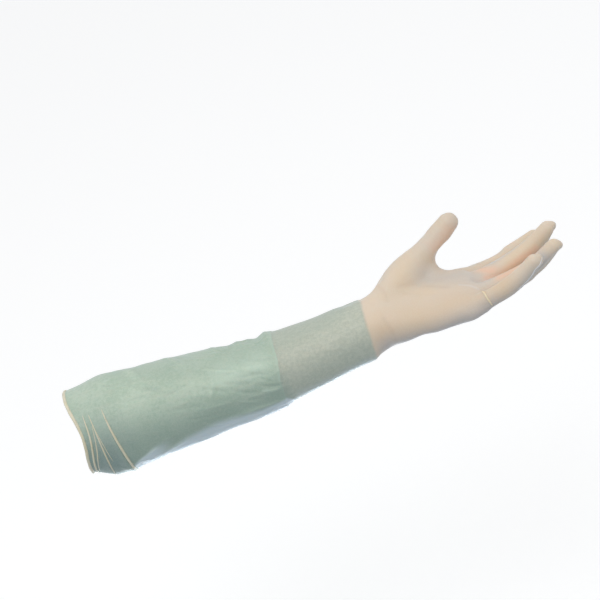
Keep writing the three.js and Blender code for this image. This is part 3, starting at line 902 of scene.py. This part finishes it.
# Thin lines on the hand's film, by their places in millimetres
LITTLE_FOLD = [
    (395.3, -30, 8.6), (395.6, -34.5, 9.6), (395.8, -39.5, 9.3), (397, -45, 4.4), (398.4, -46.5, -1.5),
]
LITTLE_EDGE = [
    (453, -45.5, 30), (451.5, -47.5, 28.6), (444.2, -50.6, 23.7), (436.5, -49.2, 15), (429.7, -49, 11.2),
    (423, -48.4, 8),
]
PALE_LINES = [
    [(380, -9, 8.6), (388, -14, 7.4), (394.6, -21.6, 5.8)],
    [(466, 20.5, 12.5), (449, 13.5, 11.4), (430, 10.5, 7.0), (417, 9.5, 4.4)],
    [(397.3, -31, 10.3), (413.4, -35.2, 15.0), (429.6, -38.6, 22.5)],
]
# Creases over the hand: sunk a little into the film, and darkened with painted shade
HAND_CREASES = [
    [(327.8, 8.2, 20.6), (341.2, 9.3, 17.0), (353.7, 3.5, 11.5), (369.5, -7.2, 10.0)],
    [(398.1, 29, 2.0), (402.0, 18.0, 3.6), (406.2, 12, 3.6)],
    [(398.3, 8, 5.0), (405, -2, 5.6), (410, -9, 5.4)],
    [(302.4, -22.4, 14.0), (303.8, -28.2, 9.6), (304.9, -32.1, 3.4), (305.5, -32.2, -6)],
    [(309.6, 18.5, 22.7), (313.3, 6.4, 20.4), (312, -4, 18.6)],
    [(330, 2, 16.5), (346, -8, 14.6), (362, -17, 13.2)],
]
PINK_PATHS = [
    [(402, 14, 3), (409, 4, 4.9), (415, 0, 3.5)],
    [(407, -4, 1), (419, -6, 2), (430, -5, 3), (445, -2, 4.6), (459, -0.5, 8)],
    [(416, -16.5, 6), (427.5, -16.4, 7.2), (436.4, -14.2, 8.2)],
]
PINK_THUMB = [[(392, 35, 39), (386, 33, 35), (376, 31, 30)]]
# Painted shade on the index finger's side, and on the ring finger's side where the little finger shades it
FINGER_SHADE_PATHS = [
    [(468, 22, 13), (449, 17, 10), (432, 16, 6), (418, 14, 4)],
    [(457, -25.5, 14), (450, -27, 9), (440, -27, 4), (430, -27, 0)],
]
# Painted shade along the lower side of the palm and of the little finger
LOW_SIDE_SHADE_PATHS = [
    [(300, -31, -14), (325, -34, -14), (350, -38, -12), (378, -42, -8), (400, -46, -4)],
    [(404, -48, -8), (418, -51, -5), (432, -53, 2), (444, -53, 12)],
]
# Painted shade in the palm's hollow
PALM_HOLLOW_SHADE = [(352, 18, 12), (372, 8, 9), (390, 4, 5), (402, -8, 5)]
TAN_PATHS = [[(300, -28, 6), (318, -27, 2), (345, -33, 3), (372, -34, 5), (398, -41, 8), (412, -42, 12)]]
# A mottled painted highlight on the forearm's top side
HIGHLIGHT_SPOTS = [(176, -22, 21), (150, -24, 23)]
HIGHLIGHT_REACH = (4, 26)

# Patches on the hand: the mask that keeps each, the paths along it, how far it reaches and how strong it is
Patch = namedtuple("Patch", "mask paths reach strength")
PATCHES = [Patch(*row) for row in (
    # The hand's creases, darkened with painted shade
    ("crease", HAND_CREASES, 3.5, 1),
    ("pink", PINK_PATHS, 8, 1),
    ("pink", PINK_THUMB, 14, 0.7),
    ("palm_hollow_shade", [PALM_HOLLOW_SHADE], 24, 1),
    # Painted shade on the fingers' sides and along the hand's lower side
    ("cool", FINGER_SHADE_PATHS, 12, 1),
    ("cool", LOW_SIDE_SHADE_PATHS, 22, 0.8),
    ("tan", TAN_PATHS, 26, 1),
)]

# Where patches of the arm's film begin and end, along the arm in millimetres or about it in degrees
FRONT_END = (250, 268)
LOOSE_START = (37, 41)
LOOSE_END = (196, 204)
TONGUE_END = (58, 84)
STRIP_START = (60, 72)
EDGE_SIDE = (196, 230)
BAND_START = (196, 206)
BAND_STOP = (276, 290)
# Angles of the painted rim light along the band's lower side
BAND_SIDE = (190, 228)
SHADE_SIDE = (126, 186)
SHADE_START = (30, 48)
SHADE_DROPS = (190, 204)
SHADE_DROP = 0.7  # how much less the shade is on the band
SHADE_END = (270, 288)
# The cuff's lower side: darker film, deepened with painted shadow
CUFF_END = (26, 60)
CUFF_ANGLE = 195.0
CUFF_SPREAD = 60.0

# Where the film lies higher or lower than the smooth forms: at the nails, in the hollows of the thumb, along
# the fingers' sides, at the heel of the hand and on the forearm's top side
Shaping = namedtuple("Shaping", "height reach path")
SHAPING = [Shaping(*row) for row in (
    (1.9, 7, [(484, 9, 21), (484.2, 8.6, 19.6)]),
    (0.8, 7, [(473.6, 31.7, -3.0), (473.8, 31.7, -2)]),
    (1.8, 7, [(453, -43.2, 28.8), (453, -43.6, 27.4)]),
    (-2.0, 7, [(483, 5, 17), (480, 6, 13)]),
    (1.0, 6, [(479.6, -20.3, 17.2), (479.8, -20.2, 15.6)]),
    (-2.7, 9, [(475, -25, 12), (467, -26, 8), (460, -26, 4), (450, -26, -1)]),
    (-2.6, 12, [(378, 33, 3), (385, 34, 0), (391, 34, -2), (404, 33, -1), (417, 36, -3), (428, 35, -1)]),
    (-2.8, 11, [(382, 38, 24), (374, 33, 21)]),
    (1.7, 12, [(369, 28, 13), (371, 29, 9)]),
    (1.0, 9, [(401, 47, 49), (403, 43, 44)]),
    (-1.2, 13, [(366, 44, 39), (356, 45, 34)]),
    (-1.8, 24, [(312, -18, -19), (345, -24, -17), (380, -27, -13), (404, -34, -7)]),
    (-1.8, 16, [(366, -40, -11), (351, -34, -17), (332, -28, -17)]),
    (-2.2, 13, [(303, 27, 17), (314, 28, 24)]),
    (-2.2, 15, [(276, 20, 18), (284, 20, 17.5)]),
    (-2.0, 20, [(70, 30, 33), (82, 31, 31)]),
)]

# The line where the film starts to stand off along the low side, as places along the arm, angles about it
# and how soft it is, in degrees: a tongue at the cuff, and a strip from there to the end of the upper part
LooseRow = namedtuple("LooseRow", "x angle softness")
LOOSE_TONGUE = [LooseRow(*row) for row in (
    (36, 214, 2), (38, 208, 2), (44, 205, 2), (52, 200, 2.5), (60, 195, 3), (67, 192, 5), (80, 188, 9),
)]
LOOSE_STRIP = [LooseRow(*row) for row in (
    (62, 216, 4), (67, 208, 4), (80, 202, 5), (94, 196, 7), (107, 194, 8), (124, 191, 9), (139, 191, 8),
    (153, 194, 7), (167, 197, 5), (192, 195, 4), (198, 210, 4), (204, 235, 6),
)]


# Noise over the film: how many lumps a metre, its detail and its roughness
SPECKLE = (900, 2)
GRAIN = (320, 4, 0.6)
CLOUD = (26, 3)
BROAD = (9, 2)
STREAK = (1, 4, 0.6)
STREAK_SCALES = (24, 210, 210)
WANDER = (45, 3)
BEAD_CLOUD = (60, 3)
BEAD_LINES = (1, 3)
BEAD_LINE_SCALES = (900, 120, 120)
FOLD_GRAIN = (400, 3)
FOLD_GRAIN_COLOUR = (214, 198, 176)
PALE_WIDTH = 2.2
FILM_GLOW = {"Subsurface Weight": 0.25, "Subsurface Radius": (0.9, 0.6, 0.45), "Subsurface Scale": 0.004}
LAYERS_GLOW = {"Subsurface Weight": 0.2, "Subsurface Radius": (0.9, 0.6, 0.45), "Subsurface Scale": 0.003}


def film_material(colours):
    """Thin latex film: cream over the hand, greyer on the band above the wrist, sage on the upper part."""
    shader = Shader("latex film")
    place = shader.add("ShaderNodeTexCoord")[3]
    speckle, grain, cloud, broad = (shader.noise(place, *kind) for kind in (SPECKLE, GRAIN, CLOUD, BROAD))
    streak = shader.noise(shader.vector("MULTIPLY", place, STREAK_SCALES)[0], *STREAK)

    hand = shader.layers(
        colours.hand,
        (shader.rise(cloud, 0.4, 0.64) * 0.5, colours.hand_warm),
        (shader.rise(broad, 0.45, 0.65) * 0.35, colours.hand_cool_and_shade),
        (shader.attribute("tan") * 0.5, colours.hand_tan),
        # Painted shade in the palm's hollow, in the same cool grey as the random greyer patches
        (shader.attribute("palm_hollow_shade") * 0.75, colours.hand_cool_and_shade),
        # Painted shade on the fingers' sides and along the hand's lower side
        (shader.attribute("cool") * 0.7, colours.hand_painted_shade),
        (shader.attribute("pink") * 0.7, colours.hand_pink),
    )
    band = shader.layers(
        colours.band,
        (shader.rise(grain, 0.36, 0.62) * 0.7, colours.band_dark),
        (shader.rise(streak, 0.4, 0.7) * 0.2, colours.band_dark),
    )

    # The three parts meet along wandering lines, with a pale hem where the upper part ends.
    wander = (shader.noise(place, *WANDER) - 0.5) * 5
    past_upper = shader.attribute("past_upper") + wander
    past_band = shader.attribute("past_band") + wander * 0.5
    on_arm = 1 - shader.rise(past_band, -4, 0)
    hem = shader.rise(past_upper, -3.5, -0.5) * (1 - shader.rise(past_upper, -0.2, 0.7))
    mottle = cloud * 0.5 + grain * 0.5
    fold = shader.attribute("fold")
    loose = shader.attribute("loose")
    pale = shader.largest(
        [shader.near_path(place, settle(np.array(path, float)), PALE_WIDTH) for path in PALE_LINES])
    colour = shader.layers(
        colours.upper,
        (shader.rise(mottle, 0.42, 0.58) * 0.8, colours.upper_pale),
        (shader.rise(streak, 0.5, 0.7) * 0.25, colours.band),
        # Painted highlight on the forearm's top side, mottled
        (shader.attribute("bright") * (0.3 + 0.6 * mottle), colours.upper_hem_and_highlight),
        # The cuff's lower side: darker film, deepened with painted shadow
        (shader.attribute("cuff") * 0.75, colours.cuff),
        (hem * 0.5, colours.upper_hem_and_highlight),
        (shader.rise(past_upper, -0.5, 0.7), band),
        (shader.attribute("shade") * 0.75, colours.shade),
        # Painted rim light along the band's lower side
        (shader.attribute("band_rim_glow") * 0.6, colours.loose),
        (shader.rise(past_band, -2, 2), hand),
        # Painted highlight on the ridges of the arm's creases and painted shade in their grooves
        (shader.rise(fold, 0.1, 0.9) * 0.3 * on_arm, colours.upper_hem_and_highlight),
        ((1 - shader.rise(fold, -0.9, -0.1)) * 0.3 * on_arm, colours.shade),
        # Loose film: paler where it stands off, and brightened with painted light shining through it
        (loose * 0.85, colours.loose),
        # Painted light at its outermost edge
        (shader.attribute("edge") * loose * 0.8, colours.loose_edge_glow),
        (pale * 0.28, colours.stretched),
        # Painted shade in the hand's creases
        (shader.attribute("crease") * 0.17, colours.crease),
        (shader.rise(speckle, 0.35, 0.7) * 0.12, colours.speckle),
    )

    height = speckle * 0.05 + grain * (0.12 + 0.2 * on_arm) + streak * 0.12 * on_arm + pale * 0.3
    return shader.finished({
        "Base Color": colour,
        "Roughness": 0.46 + (grain - 0.5) * 0.16 + loose * 0.05 - pale * 0.08,
        "Normal": shader.bump(height, 0.6, 0.0012),
        "Specular IOR Level": 0.4,
        "Sheen Weight": 0.35,
        "Sheen Roughness": 0.35,
        "Sheen Tint": (0.88, 0.95, 1.0, 1.0),
        "Coat Weight": 0.06,
        "Coat Roughness": 0.35,
        **FILM_GLOW,
    })


def bead_material(colours):
    """The rolled edge: several layers of film, so a deeper cream."""
    shader = Shader("rolled latex")
    place = shader.add("ShaderNodeTexCoord")[3]
    cloud = shader.noise(place, *BEAD_CLOUD)
    lines = shader.noise(shader.vector("MULTIPLY", place, BEAD_LINE_SCALES)[0], *BEAD_LINES)
    colour = shader.layers(
        colours.bead,
        (shader.rise(cloud, 0.4, 0.62), colours.fold),
        (shader.rise(lines, 0.5, 0.7) * 0.4, colours.bead_dark),
    )
    return shader.finished({
        "Base Color": colour,
        "Roughness": 0.42 + (cloud - 0.5) * 0.2,
        "Normal": shader.bump(lines, 0.5, 0.0006),
        **LAYERS_GLOW,
    })


def fold_material(name, colour):
    """A small fold of film, where two layers look brighter."""
    shader = Shader(name)
    grain = shader.noise(shader.add("ShaderNodeTexCoord")[3], *FOLD_GRAIN)
    return shader.finished({
        "Base Color": shader.mix(grain * 0.3, colour, FOLD_GRAIN_COLOUR),
        "Roughness": 0.45,
        **LAYERS_GLOW,
    })


def colour_choice(name, description, default):
    return bpy.props.FloatVectorProperty(
        name=name, description=description, default=default, size=3, min=0, max=255)


def number_choice(name, description, default, **settings):
    return bpy.props.FloatProperty(name=name, description=description, default=default, **settings)


class GloveSizes(bpy.types.PropertyGroup):
    """Sizes of the film that a user would change."""

    wall: number_choice("Wall", "Thickness of the film", FILM * MM, unit="LENGTH")
    bead: number_choice(
        "Rolled edge", "Radius of the rolled edge at the mouth", BEAD_RADIUS * MM, unit="LENGTH")
    ring_step: number_choice(
        "Ring spacing", "Distance between the cage's rings along the forearm", 5.0 * MM, unit="LENGTH")
    levels: bpy.props.IntProperty(
        name="Rounding", description="Times that the cage is subdivided", default=2, min=1, max=3)


# Some of these colours are painted light or shade
class GloveColours(bpy.types.PropertyGroup):
    """Colours of the film, in the photograph's 0 to 255."""

    hand: colour_choice("Hand", "Film over the hand", (226, 208, 186))
    hand_warm: colour_choice("Hand, warm", "Warmer patches over the hand", (228, 206, 175))
    # Both the random greyer patches of the film and the painted shade in the palm's hollow
    hand_cool_and_shade: colour_choice("Hand, cool", "Stretched, greyer patches over the hand", (208, 200, 192))
    # Painted shade on the fingers' sides and along the hand's lower side
    hand_painted_shade: colour_choice("Hand, grey", "The fingers' sides and the heel of the hand", (184, 185, 190))
    hand_pink: colour_choice("Hand, pink", "Thin places over the hand", (242, 198, 170))
    hand_tan: colour_choice("Hand, tan", "The hand's lower side", (220, 191, 154))
    band: colour_choice("Band", "Film on the band above the wrist", (196, 200, 184))
    band_dark: colour_choice("Band, dark", "Mottling in that band", (179, 186, 171))
    upper: colour_choice("Upper part", "Film over the forearm", (173, 194, 174))
    upper_pale: colour_choice("Upper part, pale", "Paler patches there", (190, 207, 189))
    # Pale film at the hem, and the colour of the painted highlights on the forearm's top side and on its
    # crease ridges
    upper_hem_and_highlight: colour_choice("Upper part, bright", "Its brightest patch, above the band", (200, 219, 202))
    shade: colour_choice("Shade", "The upper part towards its lower side", (143, 165, 152))
    # Darker film on the cuff's lower side, deepened with painted shadow
    cuff: colour_choice("Cuff", "Film gathered at the cuff", (112, 136, 135))
    # Paler film that stands off, brightened with painted light shining through it
    loose: colour_choice("Loose film", "Film that stands off along the lower side", (214, 228, 232))
    # Painted light shining through the loose film's outermost edge
    loose_edge_glow: colour_choice("Loose film, edge", "Its outermost, palest strip", (228, 238, 243))
    fold: colour_choice("Fold", "Several layers of film in a fold", (222, 214, 186))
    fold_bright: colour_choice("Fold, bright", "The small fold at the little finger", (246, 228, 194))
    stretched: colour_choice("Stretched film", "Pale tension lines between fingers", (232, 231, 233))
    # Painted shade in the hand's creases
    crease: colour_choice("Crease", "Shallow creases over the hand", (188, 164, 142))
    speckle: colour_choice("Speckle", "Fine speckle of the dipped film", (240, 232, 220))
    bead: colour_choice("Rolled edge", "The rolled edge at the mouth", (224, 217, 194))
    bead_dark: colour_choice("Rolled edge, dark", "Lines in the rolled edge", (176, 168, 146))


class GloveStage(bpy.types.PropertyGroup):
    """The camera, lights and floor."""

    lens: number_choice("Lens", "Focal length of the camera", 85.0, unit="CAMERA")
    distance: number_choice("Distance", "From the camera to what it looks at", 1.3, unit="LENGTH")
    elevation: number_choice("Elevation", "Of the camera above the glove", math.radians(33), subtype="ANGLE")
    roll: number_choice("Roll", "Of the camera about its own axis", math.radians(21.4), subtype="ANGLE")
    target: bpy.props.FloatVectorProperty(
        name="Target", description="What the camera looks at", default=(0.237, 0.0, 0.0518), unit="LENGTH")
    floor_drop: number_choice(
        "Floor drop", "From the glove's lowest point down to the floor", 0.35, unit="LENGTH")
    sky: number_choice("Light above", "Strength of the surroundings above", 0.84)
    sky_below: number_choice("Light below", "Strength of the surroundings below", 0.38)
    key: number_choice("Key light", "Power of the large soft light", 5.5)
    rim: number_choice(
        "Rim light", "Power of the light behind and below, which shows the film's edge", 1.0)


def build_face(context, name, levels, ring_step, count, depth=0.0):
    """Builds one face of the film's wall, at a depth below the outer one. The inner one faces inwards."""
    smooth, places, out, faces = film_points(levels, ring_step / MM, count)
    if depth:
        faces = faces[:, ::-1]
    face = new_object(name, places - out * (depth / MM), faces, film_material(context.scene.glove_colours))
    keep_masks(face, smooth)
    finish_piece(face)


def tube_faces(start, count, sides, closed):
    """Faces between the lines of points that run along a tube, side by side."""
    faces = []
    for k in range(sides):
        this, that = start + k * count, start + (k + 1) % sides * count
        for i in range(count if closed else count - 1):
            ahead = (i + 1) % count
            faces.append((this + i, this + ahead, that + ahead, that + i))
    return faces


class GLOVE_OT_film(bpy.types.Operator):
    """Builds the outer face of the film, with its folds and creases"""

    bl_idname = "glove.film"
    bl_label = "Film"

    def execute(self, context):
        sizes = context.scene.glove_sizes
        build_face(context, "glove_film", sizes.levels, sizes.ring_step, 2 * AROUND)
        return {"FINISHED"}


class GLOVE_OT_inside(bpy.types.Operator):
    """Builds the inner face of the film"""

    bl_idname = "glove.inside"
    bl_label = "Inside"

    def execute(self, context):
        sizes = context.scene.glove_sizes
        build_face(context, "glove_inside", 1, 2 * sizes.ring_step, AROUND, sizes.wall)
        return {"FINISHED"}


class GLOVE_OT_bead(bpy.types.Operator):
    """Builds the rolled edge at the mouth"""

    bl_idname = "glove.bead"
    bl_label = "Rolled edge"

    def execute(self, context):
        sizes = context.scene.glove_sizes
        radius = sizes.bead / MM
        turn = 2 * np.pi * np.arange(BEAD_POINTS) / BEAD_POINTS
        rim, out = dressed(arm_point(np.zeros(BEAD_POINTS), turn))
        rim -= out * (sizes.wall / MM / 2)
        points = []
        for k in range(BEAD_SIDES):
            tilt = 2 * np.pi * k / BEAD_SIDES
            uneven = BEAD_UNEVEN * np.sin(5 * turn + 1) * np.sin(2 * turn)
            thick = radius * (1 + uneven + BEAD_TWIST * np.sin(BEAD_TWISTS * turn + tilt))
            ring = rim + out * (thick * math.cos(tilt))[:, None]
            ring[:, 0] += thick * math.sin(tilt)
            points.append(ring)
        faces = tube_faces(0, BEAD_POINTS, BEAD_SIDES, True)
        material = bead_material(context.scene.glove_colours)
        bead = new_object("glove_rolled_edge", np.concatenate(points), faces, material)
        finish_piece(bead)
        return {"FINISHED"}


class GLOVE_OT_ridges(bpy.types.Operator):
    """Builds the thin ridges of rolled film at the cuff and at the little finger"""

    bl_idname = "glove.ridges"
    bl_label = "Ridges"

    def execute(self, context):
        colours = context.scene.glove_colours
        shares = np.linspace(0, 1, RIDGE_POINTS)
        paths = []
        for ridge in RIDGES:
            x = ridge.x + (ridge.to_x - ridge.x) * shares + ridge.bow * np.sin(np.pi * shares)
            angle = np.radians(ridge.angle + (ridge.to_angle - ridge.angle) * shares)
            paths.append((arm_point(x, angle), ridge.radius))
        finish_piece(self.tubes("glove_cuff_ridges", paths, bead_material(colours)))
        for name, marks, radius, colour in (
            ("glove_little_finger_fold", LITTLE_FOLD, LITTLE_FOLD_RADIUS, colours.fold_bright),
            ("glove_little_finger_edge", LITTLE_EDGE, LITTLE_EDGE_RADIUS, colours.stretched),
        ):
            numbers = np.arange(len(marks))
            places = np.linspace(0, len(marks) - 1, LITTLE_POINTS)
            path = np.stack([np.interp(places, numbers, line) for line in np.array(marks).T], axis=-1)
            finish_piece(self.tubes(name, [(settle(path), radius)], fold_material(name, colour)))
        return {"FINISHED"}

    def tubes(self, name, paths, material):
        """Tapered half-sunk tubes along paths on the film."""
        points, faces = [], []
        for path, radius in paths:
            places, out = dressed(path)
            along = np.gradient(places, axis=0)
            along /= np.linalg.norm(along, axis=1)[:, None]
            aside = np.cross(along, out)
            thick = radius * np.sin(np.pi * np.linspace(*TUBE_ENDS, len(path))) ** TUBE_TAPER
            start = sum(len(p) for p in points)
            for k in range(TUBE_SIDES):
                tilt = 2 * np.pi * k / TUBE_SIDES
                points.append(places + aside * (thick * math.cos(tilt))[:, None]
                              + out * (thick * (math.sin(tilt) + TUBE_RISE))[:, None])
            first = [start + k * len(path) for k in range(TUBE_SIDES)]
            last = [corner + len(path) - 1 for corner in reversed(first)]
            faces += [*tube_faces(start, len(path), TUBE_SIDES, False), first, last]
        return new_object(name, np.concatenate(points), faces, material)


# The stage, in metres: each lamp stands at a place and shines at its aim.
Lamp = namedtuple("Lamp", "name place aim size colour")
KEY_LAMP = Lamp("key", (0.0, -0.4, 1.6), (0.24, 0, 0), (1.2, 1.2), (1, 1, 1))
RIM_LAMP = Lamp("rim", (0.11, 0.15, -0.26), (0.11, 0, 0), (0.36, 0.2), (0.8, 0.92, 1))
FLOOR_HALF = 30.0
FLOOR_COLOUR = (0.93, 0.93, 0.93, 1)
SKY_RISE = (-0.7, 0.8)
SKY_BELOW = (0.82, 0.95, 1.1, 1)
SKY_ABOVE = (1, 1, 1, 1)


class GLOVE_OT_stage(bpy.types.Operator):
    """Sets up the floor, the soft light and the camera"""

    bl_idname = "glove.stage"
    bl_label = "Stage"

    def execute(self, context):
        stage = context.scene.glove_stage
        self.floor(stage)
        self.camera(context, stage)
        self.light(KEY_LAMP, stage.key)
        self.light(RIM_LAMP, stage.rim)
        self.surroundings(context, stage)
        context.scene.view_settings.view_transform = "Standard"
        return {"FINISHED"}

    def surroundings(self, context, stage):
        """Soft light from all round, brightest from above."""
        shader = Shader("surroundings", "worlds")
        height = shader.add("ShaderNodeSeparateXYZ", {0: shader.add("ShaderNodeTexCoord")[0]})[2]
        above = shader.rise(height, *SKY_RISE)
        colour = shader.add("ShaderNodeMix", {0: above, 6: SKY_BELOW, 7: SKY_ABOVE}, data_type="RGBA")[2]
        strength = stage.sky_below + (stage.sky - stage.sky_below) * above
        light = shader.add("ShaderNodeBackground", {"Color": colour, "Strength": strength})[0]
        shader.add("ShaderNodeOutputWorld", {"Surface": light})
        context.scene.world = shader.material

    def floor(self, stage):
        material = Shader("pale floor").finished({
            "Base Color": FLOOR_COLOUR,
            "Roughness": 0.9,
            "Specular IOR Level": 0.1,
            "Emission Color": (1, 1, 1, 1),
            "Emission Strength": 0.17,
        })
        drop = CAD_BOX[0][2] - stage.floor_drop
        corners = [(x * FLOOR_HALF, y * FLOOR_HALF, drop) for x, y in ((-1, -1), (1, -1), (1, 1), (-1, 1))]
        floor = new_object("floor", np.array(corners) / MM, [(0, 1, 2, 3)], material)
        floor.visible_diffuse = False

    def camera(self, context, stage):
        back = Vector((0, -math.cos(stage.elevation), math.sin(stage.elevation)))
        right = Vector((1, 0, 0))
        up = back.cross(right)
        rolled_right = right * math.cos(stage.roll) - up * math.sin(stage.roll)
        rolled_up = right * math.sin(stage.roll) + up * math.cos(stage.roll)
        data = bpy.data.cameras.new("camera")
        data.lens = stage.lens
        camera = placed("camera", data)
        turn = Matrix((rolled_right, rolled_up, back)).transposed()
        place = Vector(stage.target) + back * stage.distance
        camera.matrix_world = Matrix.Translation(place) @ turn.to_4x4()
        context.scene.camera = camera

    def light(self, lamp, power):
        data = bpy.data.lights.new(lamp.name, "AREA")
        data.shape = "RECTANGLE"
        data.size, data.size_y = lamp.size
        data.energy, data.color = power, lamp.colour
        obj = placed(lamp.name, data)
        turn = (Vector(lamp.aim) - Vector(lamp.place)).to_track_quat("-Z", "Y").to_matrix()
        obj.matrix_world = Matrix.Translation(lamp.place) @ turn.to_4x4()
        obj.visible_camera = False


class GLOVE_PT_panel(bpy.types.Panel):
    """Lists the glove's pieces in the sidebar"""

    bl_idname = "GLOVE_PT_panel"
    bl_label = "Glove"
    bl_space_type = "VIEW_3D"
    bl_region_type = "UI"
    bl_category = "Glove"

    def draw(self, context):
        scene = context.scene
        for group in (scene.glove_sizes, scene.glove_colours, scene.glove_stage):
            box = self.layout.box()
            for name in group.bl_rna.properties.keys():
                if name not in ("rna_type", "name"):
                    box.prop(group, name)
        for operator in OPERATORS:
            self.layout.operator(operator.bl_idname)


GROUPS = {"glove_sizes": GloveSizes, "glove_colours": GloveColours, "glove_stage": GloveStage}
OPERATORS = (GLOVE_OT_film, GLOVE_OT_inside, GLOVE_OT_bead, GLOVE_OT_ridges, GLOVE_OT_stage)
CLASSES = (*GROUPS.values(), *OPERATORS, GLOVE_PT_panel)


def register():
    for cls in CLASSES:
        bpy.utils.register_class(cls)
    for name, group in GROUPS.items():
        setattr(bpy.types.Scene, name, bpy.props.PointerProperty(type=group))


def unregister():
    for name in GROUPS:
        delattr(bpy.types.Scene, name)
    for cls in reversed(CLASSES):
        bpy.utils.unregister_class(cls)


def main():
    register()
    bpy.ops.glove.film()
    bpy.ops.glove.inside()
    bpy.ops.glove.bead()
    bpy.ops.glove.ridges()
    bpy.ops.glove.stage()


if __name__ == "__main__":
    main()
